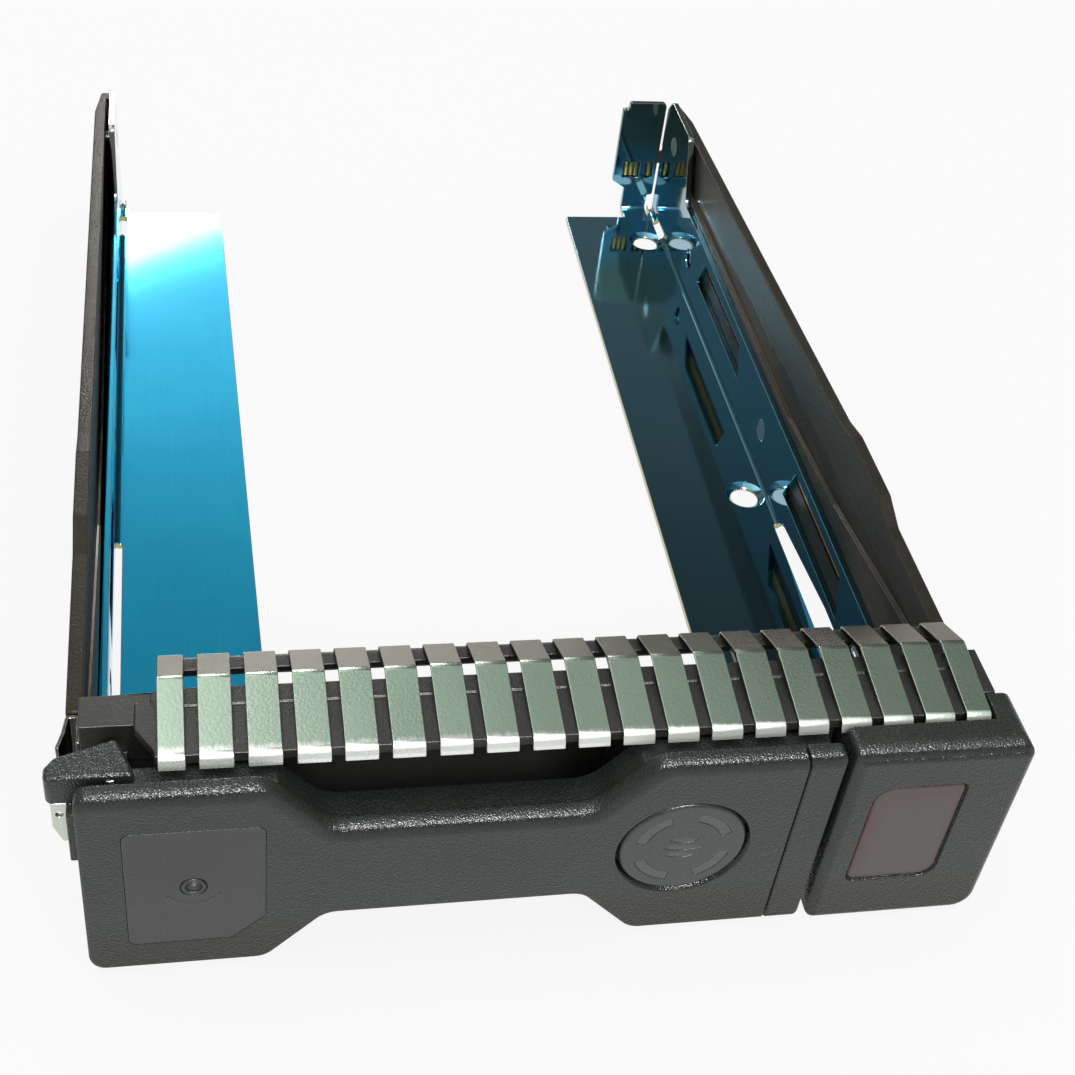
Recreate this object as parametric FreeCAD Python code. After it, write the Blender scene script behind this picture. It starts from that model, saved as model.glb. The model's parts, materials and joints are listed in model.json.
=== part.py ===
import FreeCAD, Part
import math
import os
from FreeCAD import Placement, Rotation, Vector

# Hot swap drive caddy: two bent steel rails with plastic side guides, joined at the front by a
# moulded housing that carries a row of grounding fingers, a hinged lever and a release button.
#
# Everything below is in millimetres. While it is modelled, X is measured from the centreline of
# the drive, Y backwards from the front face and Z up from the surface the caddy stands on. At the
# end every piece is moved so that the origin is the bottom centre of the whole.

# The drive that the caddy carries, and the sheet that holds it
drive_width = 101.6
drive_side_gap = 0.4
drive_end = 170.0
drive_hole_height = 6.35
drive_hole_radius = 1.8
drive_hole_spacing = 101.6
drive_hole_from_end = 28.5
sheet = 1.0
bend_inside = 0.6
overall_length = 173.0

# Front
front_height = 30.5
front_overhang = 1.8
lever_side_inset = 1.4
housing_left_inset = 1.7
housing_right_inset = 0.2
lever_inset = 0.3
edge_round = 1.2
slip = 0.2

# Rails
rail_end_gap = 3.5
rail_edge_front = 30.6
rail_edge_rear = 33.3
wall_height = 14.2
ear_height = 26.0
ear_length = 20.0
ear_end_gap = 1.0
flange_height = 12.0
flange_inset = 3.4
floor_hole_x = 47.6
floor_hole_gap = 12.2
floor_hole_spacing = 76.2
floor_hole_radius = 2.2
floor_hole_rim = 3.2
fold_slot_gaps = (7.1, 98.3)
fold_slot_top = 4.6
fold_slot_taper = 20.7
rear_slot_gap = 5.0
rear_slot_length = 6.4
rear_slot_top = 2.0
windows = ((65.0, 35.4, 6.8, 12.2, 2.6), (123.0, 94.4, 6.2, 12.4, 2.8))
screw_rows = (13.2, 5.2)
screw_row_height = 6.6

# Side guides and the rivets that hold them
guide_thickness = 2.6
guide_bottom = 5.2
guide_top_rear = 22.7
guide_top_front = 26.6
guide_bump_top = 28.4
guide_bump_y = (49.0, 62.0)
guide_clearance = 0.3
guide_relief = 0.7
relief_line = ((35.0, 20.9, 6.0), (60.0, 17.2, 6.0), (83.0, 15.4, 8.0))
pocket_rise = 3.4
pocket_height = 6.0
screw_access_radius = 2.6
rivet_height = 7.6
rivet_gaps = (142.0, 80.0, 8.0)
ear_rivet_height = 19.0
rivet_radius = 1.1
rivet_head = 1.8
fit = 0.05

# Front housing
housing_back = 16.9
housing_wall = 1.8
housing_bottom = 0.6
top_plate_thickness = 1.4
front_wall_thickness = 1.4
cheek = 1.2
lever_gap = 0.6
nub_room = 6.0
recess_margin = 4.8
hinge_wall_gap = 5.6

# Lever
cover_depth = 3.0
cover_skin = 1.6
cover_rim = 1.4
frame_depth = 4.0
frame_inset = 0.5
pin_radius = 1.2
barrel_radius = 2.4
ear_top = 1.9
knuckle_height = 3.9
hinge_spring_height = 3.2
seam = 0.3
end_strip_width = 4.6
bezel_gap = 1.0
scoop_depth = 7.7
waist_width = 30.4
waist_from_disc = 11.3
notch_run = 6.9
nub_height = 4.2
nub_setback = 1.7
nub_swing = 4.7
cam_plate_drop = 6.4
hook_reach = 5.3

# Round status disc and bare label field on the lever
disc_from_end = 17.8
disc_rise = 0.85
disc_radius = 7.7
disc_groove = 0.5
disc_thickness = 2.2
segment_radii = (4.7, 6.1)
segment_angles = ((22, 78), (112, 168), (202, 258), (292, 348))
bar_lengths = (2.4, 3.6, 2.8)
bar_step = 1.35
field_width = 15.3
field_margin = 4.8
field_rise = 5.1
field_drop = 5.2
field_thickness = 0.5
field_gap = 0.12
field_corner = 3.9
ring_radius = 1.4

# Grounding fingers and the bar under their rear bend
finger_count = 19
finger_pitch = 5.29
finger_width = 3.75
finger_thickness = 0.25
first_finger_width = 2.95
last_finger_width = 3.15
finger_rise = 1.9
finger_setback = 2.4
crest_setback = 0.3
fingers_from_edge = 52.5
bar_setback = 4.2
bar_depth = 1.9
bar_thickness = 1.0

# Release button and catch
button_width = 11.7
button_from_edge = 7.3
button_bottom = 7.7
button_drop = 5.3
button_gap = 0.15
button_inset = 0.2
button_frame = 3.3
bezel_wall = 1.8
bezel_post_radius = 1.35
bezel_screw_radius = 0.6
stem_width = 3.6
wedge = 3.0
wedge_gap = 0.2
catch_height = 5.0
catch_thickness = 2.0
wire = 0.35
coil_steps = 10
spring_gap = 0.12

# Lamp board and its light guide
board_width = 17.4
board_rise = 3.4
board_drop = 2.6
board_post_inset = 2.0
guide_wing = 5.0
guide_arm = 9.0
guide_arm_width = 4.0
light_guide_radius = 4.4
screw_head_height = 1.2

# Rear contact
plate_width = 8.4
plate_top = 23.7
plate_gap = 0.2
plate_shoulder = 7.0
flex_thickness = 0.2
flex_z = (10.3, 13.0)
contact_z = (8.1, 10.8)
contact_width = 0.55
contact_pitch = 0.95

# Sizes across the caddy that follow from those above
rail_inner = drive_width / 2 + drive_side_gap
rail_outer = rail_inner + sheet
guide_outer = rail_outer + guide_thickness
bezel_right = guide_outer + front_overhang
nub_tip = -bezel_right
lever_left = lever_side_inset - guide_outer
housing_left = housing_left_inset - guide_outer
housing_right = guide_outer - housing_right_inset
hinge_x = lever_left + cover_rim + barrel_radius
button_x = (bezel_right - button_from_edge - button_width, bezel_right - button_from_edge)
bezel_left = button_x[0] - button_frame
lever_right = bezel_left - bezel_gap
strip_left = lever_right - end_strip_width
disc_x = lever_right - disc_from_end
waist_right = disc_x - waist_from_disc
waist_left = waist_right - waist_width
recess_x = (waist_left - recess_margin, waist_right + recess_margin)
wall_left = hinge_x + hinge_wall_gap
field_x = (lever_left + field_margin, lever_left + field_margin + field_width)
finger_middle = bezel_right - fingers_from_edge
stem_x = (button_x[0] + 1.8, button_x[0] + 1.8 + stem_width)
catch_x = (lever_right + 0.6, button_x[1] - 1.3)
board_x = (recess_x[1] + cheek + 0.4, recess_x[1] + cheek + 0.4 + board_width)
plate_x = (rail_inner - plate_gap - plate_width, rail_inner - plate_gap)
tab_x = (plate_x[0] + 2.5, plate_x[1] - 1.1)
contact_windows = ((plate_x[0] + 1.7, plate_x[0] + 5.0), (plate_x[0] + 6.1, plate_x[0] + 7.7))

# Depths that follow
cover_back = lever_inset + cover_depth
frame_back = cover_back + frame_depth
hinge_y = cover_back + 2.9
wall_front = frame_back + lever_gap
wall_back = wall_front + front_wall_thickness
bezel_back = wall_back + slip
rear_wall_front = housing_back - housing_wall
block_front = hinge_y + nub_room
guide_front = housing_back + guide_clearance
finger_front_y = cover_back + finger_setback
top_plate_front = finger_front_y + 1.2
crest_y = housing_back + crest_setback
bar_y = (housing_back + bar_setback, housing_back + bar_setback + bar_depth)
flange_front = bezel_wall + slip
flange_back = flange_front + 1.1
catch_back = rear_wall_front - 1.5
catch_front = catch_back - catch_thickness
stem_end = catch_front - 2.0
board_front = rear_wall_front - 1.8
plate_y = (drive_end, drive_end + sheet)
rail_end = drive_end - rail_end_gap
ear_end = drive_end - ear_end_gap
ear_start = ear_end - ear_length
rear_slot_y = (drive_end - rear_slot_gap - rear_slot_length, drive_end - rear_slot_gap)
fold_slot_y = (housing_back + fold_slot_gaps[0], drive_end - fold_slot_gaps[1])
floor_hole_rear = drive_end - floor_hole_gap
side_holes = (drive_end - drive_hole_from_end, drive_end - drive_hole_from_end - drive_hole_spacing)

# Heights that follow
lever_top = front_height - lever_inset
lever_bottom = lever_inset
lever_middle = (lever_top + lever_bottom) / 2
disc_z = lever_middle + disc_rise
field_z = (lever_bottom + field_rise, lever_top - field_drop)
button_z = (button_bottom, front_height - button_drop)
catch_z = (lever_middle - 0.25 - catch_height / 2, lever_middle - 0.25 + catch_height / 2)
housing_top = front_height - 0.5
plate_bottom = housing_top - top_plate_thickness
frame_top = plate_bottom - lever_gap
waist_top = lever_top - scoop_depth
waist_bottom = lever_bottom + scoop_depth
recess_floor = waist_bottom
nub_top = lever_top - 0.6
nub_bottom = nub_top - nub_height
knuckle_z = (ear_top + slip, ear_top + slip + knuckle_height)
hinge_spring_z = (knuckle_z[1] + 0.4, knuckle_z[1] + 0.4 + hinge_spring_height)
post_z = (hinge_spring_z[1] + 0.4, nub_bottom - 0.3)
ring_at = (field_x[0] + 7.4, sum(field_z) / 2 + 0.1)
board_z = (housing_bottom + board_rise, plate_bottom - board_drop)
pocket_z = (guide_bottom + pocket_rise, guide_bottom + pocket_rise + pocket_height)
finger_front_z = plate_bottom + 0.4
crest_z = housing_top + finger_rise
bar_z = (plate_bottom - bar_thickness, plate_bottom)
side_hole_z = sheet + drive_hole_height

# Places of the small screws, posts and springs
lever_screw_places = (
    (hinge_x + 9.6, waist_top - 0.5), (hinge_x + 9.6, waist_bottom + 1.0),
    (waist_left + 14.2, lever_middle), (strip_left - 3.3, lever_bottom + 5.7),
)
bezel_screw_places = ((bezel_right - 5.2, 4.2), (bezel_right - 5.2, front_height - 4.9))
rail_screw_places = [(rail_inner - gap, screw_row_height) for gap in screw_rows]
board_posts = (
    (board_x[0] + board_post_inset, board_z[0] + board_post_inset),
    (board_x[1] - 2 * board_post_inset, board_z[0] + board_post_inset),
    (board_x[1] - 2 * board_post_inset, board_z[1] - board_post_inset),
)
rivet_places = [
    (drive_end - gap, height)
    for gap, height in zip(rivet_gaps, (rivet_height, rivet_height, ear_rivet_height))
]
pocket_y = ((side_holes[1] + 7.1, rivet_places[1][0] - 5.0), (rivet_places[1][0] + 5.0, side_holes[0] - 8.5))
button_spring_at = (button_x[1] - 3.3, button_z[1] - 3.6)

PLANES = {
    "XY": lambda u, v, w: Vector(u, v, w),
    "XZ": lambda u, v, w: Vector(u, w, v),
    "YZ": lambda u, v, w: Vector(w, u, v),
}


def box(x, y, z):
    """Block between three (low, high) pairs."""
    return Part.makeBox(x[1] - x[0], y[1] - y[0], z[1] - z[0], Vector(x[0], y[0], z[0]))


def rounded_path(points, closed=True):
    """Edges in the UV plane through (u, v, radius) corners, each rounded by a tangent arc."""
    count = len(points)
    stops = []
    for i, (u, v, radius) in enumerate(points):
        here = Vector(u, v, 0)
        if radius == 0 or (not closed and i in (0, count - 1)):
            stops.append((here, None, here))
            continue
        before = (Vector(points[i - 1][0], points[i - 1][1], 0) - here).normalize()
        following = points[(i + 1) % count]
        after = (Vector(following[0], following[1], 0) - here).normalize()
        half = before.getAngle(after) / 2
        inward = (before + after).normalize()
        reach = radius / math.tan(half)
        middle = here + inward * (radius / math.sin(half) - radius)
        stops.append((here + before * reach, middle, here + after * reach))
    edges = []
    for i, (start, middle, end) in enumerate(stops):
        if middle is not None:
            edges.append(Part.Arc(start, middle, end).toShape())
        if closed or i < count - 1:
            target = stops[(i + 1) % count][0]
            if (target - end).Length > 1e-6:
                edges.append(Part.LineSegment(end, target).toShape())
    return edges


def face_on(wire_edges, plane, level):
    """Face inside edges drawn in the UV plane, laid on the named plane at a level."""
    face = Part.Face(Part.Wire(wire_edges))
    if plane == "XZ":
        turn = Rotation(Vector(1, 0, 0), 90)
        face.Placement = Placement(Vector(0, level, 0), turn)
    elif plane == "YZ":
        turn = Rotation(Vector(1, 1, 1), 120)
        face.Placement = Placement(Vector(level, 0, 0), turn)
    else:
        face.Placement = Placement(Vector(0, 0, level), Rotation())
    return face


def prism(points, plane, low, high):
    """Straight solid over an outline of (u, v, radius) corners, from one level to another."""
    direction = PLANES[plane](0, 0, high - low)
    return face_on(rounded_path(points), plane, low).extrude(direction)


def rod(plane, centre, radius, low, high):
    """Round bar square to the named plane."""
    place = PLANES[plane]
    return Part.makeCylinder(radius, high - low, place(centre[0], centre[1], low), place(0, 0, 1))


def cone(plane, centre, radii, low, high):
    """Taper square to the named plane, with its two end radii."""
    place = PLANES[plane]
    base = place(centre[0], centre[1], low)
    return Part.makeCone(radii[0], radii[1], high - low, base, place(0, 0, 1))


def rectangle(u, v, radius=0):
    """Corners of an upright rectangle, all with one radius."""
    return [(u[0], v[0], radius), (u[1], v[0], radius), (u[1], v[1], radius), (u[0], v[1], radius)]


def ribbon(points, thickness, plane, low, high):
    """Bent strip: a path of (u, v, radius) corners, thickened to its left and extruded."""
    corners = [Vector(u, v, 0) for u, v, _ in points]
    last = len(points) - 1
    offset = []
    for i, here in enumerate(corners):
        ahead = (corners[min(i + 1, last)] - corners[min(i, last - 1)]).normalize()
        behind = (corners[max(i, 1)] - corners[max(i - 1, 0)]).normalize()
        left = Vector(-ahead.y, ahead.x, 0) + Vector(-behind.y, behind.x, 0)
        left.normalize()
        widen = thickness / left.dot(Vector(-ahead.y, ahead.x, 0))
        turn = behind.x * ahead.y - behind.y * ahead.x
        radius = points[i][2]
        if radius:
            radius += thickness if turn < 0 else -thickness
        side = here + left * widen
        offset.append((side.x, side.y, radius))
    one = rounded_path(points, closed=False)
    other = rounded_path(offset[::-1], closed=False)
    first_end = Part.LineSegment(corners[-1], Vector(offset[-1][0], offset[-1][1], 0)).toShape()
    second_end = Part.LineSegment(Vector(offset[0][0], offset[0][1], 0), corners[0]).toShape()
    edges = one + [first_end] + other + [second_end]
    return face_on(edges, plane, low).extrude(PLANES[plane](0, 0, high - low))


def coil(radius, thickness, length, turns):
    """Open spring about +Z, standing on Z = 0: hexagonal wire along short straight runs."""
    rise = (length - thickness) / (turns * coil_steps)
    step = 2 * math.pi / coil_steps
    path = [
        Vector(radius * math.cos(step * i), radius * math.sin(step * i), rise * i)
        for i in range(turns * coil_steps + 1)
    ]
    section = []
    for i in range(6):
        side = thickness / 2 * math.cos(math.pi / 3 * i)
        lift = thickness / 2 * math.sin(math.pi / 3 * i)
        section.append(path[0] + Vector(side, 0, lift))
    wire_section = Part.makePolygon(section + section[:1])
    spring = Part.makePolygon(path).makePipeShell([wire_section], True, True, 1)
    spring.translate(Vector(0, 0, thickness / 2))
    return spring


def fuse(pieces):
    """One clean solid from several that touch."""
    return pieces[0].multiFuse(pieces[1:]).removeSplitter()


def mirrored(shape):
    """The same piece on the other side of the drive's centreline."""
    return shape.mirror(Vector(0, 0, 0), Vector(1, 0, 0))


def lever_outline(inset=0.0):
    """Lever seen from the front: a full-height bar, scooped above and below its grip."""
    points = [
        (lever_left, lever_bottom, 2.0),
        (lever_left, lever_top, 1.6),
        (waist_left - notch_run, lever_top, 3.0),
        (waist_left, waist_top, 4.0),
        (waist_right, waist_top, 4.0),
        (waist_right + notch_run, lever_top, 3.0),
        (lever_right, lever_top, 0.8),
        (lever_right, lever_bottom, 0.8),
        (waist_right + notch_run, lever_bottom, 3.0),
        (waist_right, waist_bottom, 3.0),
        (waist_left, waist_bottom, 3.0),
        (waist_left - notch_run, lever_bottom, 3.0),
    ]
    face = face_on(rounded_path(points), "XZ", 0)
    return face.makeOffset2D(-inset) if inset else face


def slab(face, low, high):
    """Extrude a face drawn at Y = 0 between two depths."""
    moved = face.copy()
    moved.translate(Vector(0, low, 0))
    return moved.extrude(Vector(0, high - low, 0))


def round_front(block, front):
    """Round the edges where a block meets its front face."""
    rim = [e for e in block.Edges if all(abs(v.Point.y - front) < 1e-6 for v in e.Vertexes)]
    return block.makeFillet(edge_round, rim)


def field_outline(grow):
    """Bare label field with one cut corner."""
    left, right = field_x[0] - grow, field_x[1] + grow
    low, high = field_z[0] - grow, field_z[1] + grow
    return [
        (left, low, 1.0),
        (right - field_corner, low, 0.8),
        (right, low + field_corner, 0.8),
        (right, high, 1.0),
        (left, high, 1.0),
    ]


def lever_cover(front_block):
    """Moulded front of the lever, hollow behind, with seats for the disc and the field."""
    front = box((lever_left - 1, strip_left - seam), (0, cover_back), (0, front_height))
    cover = front_block.common(front)
    hollow = slab(lever_outline(cover_rim), lever_inset + cover_skin, cover_back)
    hollow = hollow.common(box((nub_tip, strip_left - seam - cover_rim), (0, cover_back), (0, front_height)))
    tower = rod("XZ", (disc_x, disc_z), disc_radius + disc_groove + 1.2, lever_inset + 1, cover_back)
    cover = fuse([cover.cut(hollow), tower])
    bosses = [rod("XZ", at, 1.7, lever_inset + 1, cover_back) for at in lever_screw_places]
    cover = fuse([cover] + bosses)
    for at in lever_screw_places:
        cover = cover.cut(rod("XZ", at, 0.65, lever_inset + 1.2, cover_back))
    seat_back = lever_inset + disc_thickness + 0.2
    cover = cover.cut(rod("XZ", (disc_x, disc_z), disc_radius + disc_groove, 0, seat_back))
    cover = cover.cut(rod("XZ", (disc_x, disc_z), disc_radius - 1.0, 0, cover_back))
    return cover.cut(prism(field_outline(field_gap), "XZ", 0, lever_inset + field_thickness))


def lever_frame(front_block):
    """Back of the lever: ribbed plate, end strip, hinge knuckles, cam nub and catch hook."""
    plate = slab(lever_outline(frame_inset), cover_back, frame_back)
    plate_left = hinge_x + barrel_radius + 0.4
    plate = plate.common(box((plate_left, bezel_right), (0, frame_back), (0, frame_top)))
    strip = front_block.common(box((strip_left, bezel_right), (0, cover_back), (0, front_height)))
    knuckle = rod("XY", (hinge_x, hinge_y), barrel_radius, *knuckle_z)
    knuckle_arm = box((hinge_x, hinge_x + 4), (cover_back, frame_back), knuckle_z)
    nub_front = cover_back + nub_setback
    nub = prism([
        (hinge_x + barrel_radius, nub_front, 0),
        (hinge_x + barrel_radius, hinge_y, 0.8),
        (hinge_x + 0.7, hinge_y + 4.4, 0.8),
        (nub_tip + 1.0, hinge_y + 2.0, 0.9),
        (nub_tip, hinge_y + 0.6, 0.9),
        (nub_tip, nub_front, 0.8),
    ], "XY", nub_bottom, nub_top)
    top_edges = [
        e for e in nub.Edges
        if all(abs(v.Point.z - nub_top) < 1e-6 and v.Point.x < hinge_x + 2 for v in e.Vertexes)
    ]
    nub = nub.makeChamfer(0.4, top_edges)
    bridge_bottom = nub_bottom - 3.4
    nub_bridge = box((hinge_x, hinge_x + 5), (cover_back, frame_back), (bridge_bottom, frame_top))
    nub_bridge = nub_bridge.cut(box((nub_tip, plate_left), (0, frame_back), (0, nub_bottom)))
    lip_bottom = nub_bottom - cam_plate_drop - 1.5
    lip = box((lever_left - 1.0, lever_left + 1.2), (cover_back, cover_back + nub_setback + 0.6),
              (lip_bottom, nub_bottom))
    hook = prism([
        (lever_right - 3.8, frame_back - 0.5, 0),
        (lever_right - 1.3, frame_back - 0.5, 0),
        (lever_right - 1.3, frame_back + hook_reach - 2.3, 0),
        (lever_right, frame_back + hook_reach - 2.3, 0),
        (lever_right, frame_back + hook_reach - 1.4, 0.4),
        (lever_right - 1.2, frame_back + hook_reach, 0.4),
        (lever_right - 3.8, frame_back + hook_reach, 0.4),
    ], "XY", catch_z[0] - slip, catch_z[1] + slip)
    frame = fuse([plate, strip, knuckle, knuckle_arm, nub, nub_bridge, lip, hook])
    low_web, high_web = waist_bottom + 2.0, waist_top - 2.1
    for low, high, bottom, top in (
        (hinge_x + 4.8, hinge_x + 14.0, low_web + 1.2, high_web - 0.6),
        (waist_left - 4.4, waist_left + 4.6, low_web, high_web),
        (waist_left + 6.0, waist_left + 11.6, low_web, high_web),
        (waist_right - 13.6, waist_right - 5.2, low_web, high_web),
        (strip_left - 1.9, lever_right - 1.9, high_web - 0.4, frame_top - 1.6),
        (disc_x - 6.5, disc_x + 6.5, lever_bottom + 1.9, lever_bottom + 6.1),
    ):
        pocket = prism(rectangle((low, high), (bottom, top), 0.8), "XZ", frame_back - 1.7, frame_back)
        frame = frame.cut(pocket)
    for at in lever_screw_places:
        frame = frame.cut(rod("XZ", at, 0.75, cover_back, frame_back))
        frame = frame.cut(rod("XZ", at, 1.5, frame_back - 1.2, frame_back))
    frame = frame.cut(rod("XZ", (disc_x, disc_z), disc_radius - 1.0, cover_back, frame_back))
    pin_hole = rod("XY", (hinge_x, hinge_y), pin_radius + fit, 0, nub_top - 0.8)
    return frame.cut(pin_hole)


def lever_screws():
    """Small screws that hold the lever's cover to its frame, driven from behind."""
    screws = []
    for x, z in lever_screw_places:
        shank = rod("XZ", (x, z), 0.6, lever_inset + 1.6, frame_back - 1.0)
        head = rod("XZ", (x, z), 1.3, frame_back - 1.2, frame_back - 0.3)
        socket = box((x - 0.9, x + 0.9), (frame_back - 0.6, frame_back), (z - 0.15, z + 0.15))
        screws.append(fuse([shank, head]).cut(socket))
    return Part.makeCompound(screws)


def cam_plate():
    """Steel tongue under the nub that takes the wear against the chassis."""
    front = cover_back + nub_setback
    left = nub_tip + 0.5
    tongue = prism([
        (left, nub_bottom, 0),
        (left, nub_bottom - cam_plate_drop + 2.6, 0.6),
        (left + 1.0, nub_bottom - cam_plate_drop, 0.3),
        (lever_left - 1.0, nub_bottom - cam_plate_drop, 0),
        (lever_left - 1.0, nub_bottom, 0),
    ], "XZ", front, front + 0.6)
    return tongue.cut(rod("XZ", (left + 0.9, nub_bottom - 1.8), 0.45, front - 1, front + 1))


def status_disc():
    """Round lens with pockets for its light segments."""
    front = lever_inset + 0.15
    disc = rod("XZ", (disc_x, disc_z), disc_radius, front, lever_inset + disc_thickness + 0.2)
    rim = [e for e in disc.Edges if abs(e.BoundBox.YMax - front) < 1e-6]
    disc = disc.makeFillet(0.5, rim)
    for shape in light_segments(0.0, front - 0.5, front + 0.4):
        disc = disc.cut(shape)
    return disc


def light_segments(shrink, low, high):
    """Four ring segments round the disc and three lens-shaped bars in its middle."""
    pieces = []
    for start, stop in segment_angles:
        inner, outer = segment_radii[0] + shrink, segment_radii[1] - shrink
        trim = math.degrees(shrink / outer)
        first, final = math.radians(start + trim), math.radians(stop - trim)
        half = (first + final) / 2

        def at(radius, angle):
            return Vector(radius * math.cos(angle), radius * math.sin(angle), 0)

        edges = [
            Part.Arc(at(inner, first), at(inner, half), at(inner, final)).toShape(),
            Part.LineSegment(at(inner, final), at(outer, final)).toShape(),
            Part.Arc(at(outer, final), at(outer, half), at(outer, first)).toShape(),
            Part.LineSegment(at(outer, first), at(inner, first)).toShape(),
        ]
        piece = face_on(edges, "XZ", low).extrude(Vector(0, high - low, 0))
        pieces.append(piece)
    for row, length in enumerate(bar_lengths):
        level = (1 - row) * bar_step
        reach, rise = length / 2 + 0.6 - shrink, 0.45 - shrink
        tips = (Vector(-reach, level, 0), Vector(reach, level, 0))
        edges = [
            Part.Arc(tips[0], Vector(0, level + rise, 0), tips[1]).toShape(),
            Part.Arc(tips[1], Vector(0, level - rise, 0), tips[0]).toShape(),
        ]
        pieces.append(face_on(edges, "XZ", low).extrude(Vector(0, high - low, 0)))
    for piece in pieces:
        piece.translate(Vector(disc_x, 0, disc_z))
    return pieces


def status_light_inlay():
    """Pale light segments, seated in the disc's pockets."""
    front = lever_inset + 0.15
    return Part.makeCompound(light_segments(0.04, front + 0.05, front + 0.4))


def indicator_window():
    """Thin plate in the bare label field, with a seat for the small ring."""
    low, high = lever_inset, lever_inset + field_thickness
    window = prism(field_outline(0), "XZ", low, high)
    return window.cut(rod("XZ", ring_at, ring_radius + fit, low - 1, low + 0.3))


def indicator_ring():
    """Small raised ring in the field."""
    front = lever_inset - 0.12
    ring = rod("XZ", ring_at, ring_radius, front, lever_inset + 0.3)
    return ring.cut(rod("XZ", ring_at, ring_radius - 0.45, front - 1, front + 0.3))


def lever_pin():
    """Hinge pin, held in the housing."""
    return rod("XY", (hinge_x, hinge_y), pin_radius, 0.5, nub_top - 1.0)


def lever_spring():
    """Torsion spring round the hinge pin, with one leg on the housing and one on the lever."""
    radius = 1.85
    bottom, top = hinge_spring_z
    spring = coil(radius, wire, top - bottom, 5)
    spring.translate(Vector(hinge_x, hinge_y, bottom))
    legs = []
    for level, reach in ((bottom + wire / 2, -2.6), (top - wire / 2, 5.5)):
        end = Part.makeCircle(wire / 2, Vector(hinge_x + radius, hinge_y, level), Vector(0, 1, 0))
        legs.append(Part.Face(Part.Wire(end)).extrude(Vector(0, reach, 0)))
    return spring.multiFuse(legs)


def bezel_outline(inset=0.0):
    """Fixed front corner seen from the front."""
    points = [
        (bezel_left, 0, 0.8),
        (bezel_right, 0, 3.0),
        (bezel_right, front_height, 1.4),
        (bezel_left, front_height, 0.8),
    ]
    face = face_on(rounded_path(points), "XZ", 0)
    return face.makeOffset2D(-inset) if inset else face


def fixed_bezel():
    """Hollow front corner with the window for the release button."""
    shell = round_front(slab(bezel_outline(), 0, bezel_back), 0)
    shell = shell.cut(slab(bezel_outline(bezel_wall), bezel_wall, bezel_back))
    behind_fingers = (finger_front_y - 0.3, bezel_back)
    last = finger_right_edge() + 0.3
    shell = shell.cut(box((bezel_left - 1, last), behind_fingers, (plate_bottom - 0.4, crest_z)))
    shell = shell.cut(prism(button_outline(0), "XZ", -1, bezel_wall + 1))
    catch_slot = box((bezel_left - 1, bezel_left + 3), (bezel_back - 3.5, bezel_back),
                     (catch_z[0] - 1.1, catch_z[1] + 1.1))
    shell = shell.cut(catch_slot)
    bosses = []
    for at in bezel_screw_places:
        boss = rod("XZ", at, bezel_post_radius, bezel_wall - 0.5, rear_wall_front)
        bosses.append(boss)
    shell = fuse([shell] + bosses)
    for at in bezel_screw_places:
        shell = shell.cut(rod("XZ", at, bezel_screw_radius + fit, bezel_back - 2.5, rear_wall_front))
    return shell


def bezel_screws():
    """Screws through the housing into the bezel's posts."""
    screws = []
    for at in bezel_screw_places:
        shank = rod("XZ", at, bezel_screw_radius, bezel_back - 1.5, housing_back - 0.5)
        head = cone("XZ", at, (bezel_screw_radius, 1.4), housing_back - 1.0, housing_back - 0.1)
        slot = box((at[0] - 0.9, at[0] + 0.9), (housing_back - 0.4, housing_back),
                   (at[1] - 0.15, at[1] + 0.15))
        screws.append(fuse([shank, head]).cut(slot))
    return Part.makeCompound(screws)


def button_outline(inset):
    """Release button seen from the front, with two larger corners."""
    low_x, high_x = button_x[0] + inset, button_x[1] - inset
    low_z, high_z = button_z[0] + inset, button_z[1] - inset
    return [(low_x, low_z, 1.0), (high_x, low_z, 2.2), (high_x, high_z, 1.0), (low_x, high_z, 2.6)]


def release_button():
    """Maroon button with a flange behind the bezel and a wedge-ended stem."""
    cap = prism(button_outline(button_gap), "XZ", button_inset, flange_front + 0.5)
    rim = [e for e in cap.Edges if all(abs(v.Point.y - button_inset) < 1e-6 for v in e.Vertexes)]
    cap = cap.makeFillet(0.4, rim)
    lip = 0.5
    flange = prism(rectangle((button_x[0] - lip, button_x[1] + lip),
                             (button_z[0] - lip, button_z[1] + lip), 1.0),
                   "XZ", flange_front, flange_back)
    stem = prism([
        (stem_x[0], flange_back - 0.3, 0),
        (stem_x[1], flange_back - 0.3, 0),
        (stem_x[1], stem_end - wedge, 0),
        (stem_x[1] - wedge, stem_end, 0),
        (stem_x[0], stem_end, 0),
    ], "XY", catch_z[0] + slip, catch_z[1] - slip)
    spring_boss = rod("XZ", button_spring_at, 1.0, flange_back - 0.3, flange_back + 1.6)
    return fuse([cap, flange, stem, spring_boss])


def lever_catch():
    """Slider whose nose faces the lever's hook and whose wedge meets the button's stem."""
    slope_sum = stem_x[1] + stem_end - wedge + wedge_gap
    wedge_front = stem_end - 2.4
    return prism([
        (catch_x[0], catch_front - 1.0, 0.3),
        (catch_x[0] + 1.6, catch_front - 1.0, 0),
        (catch_x[0] + 2.6, catch_front, 0),
        (slope_sum - catch_front, catch_front, 0),
        (slope_sum - wedge_front, wedge_front, 0),
        (catch_x[1] - 1.0, wedge_front, 0),
        (catch_x[1] - 1.0, catch_front, 0),
        (catch_x[1], catch_front, 0),
        (catch_x[1], catch_back, 0),
        (catch_x[0] + 1.0, catch_back, 0),
        (catch_x[0], catch_back - 1.2, 0.3),
    ], "XY", *catch_z)


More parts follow.
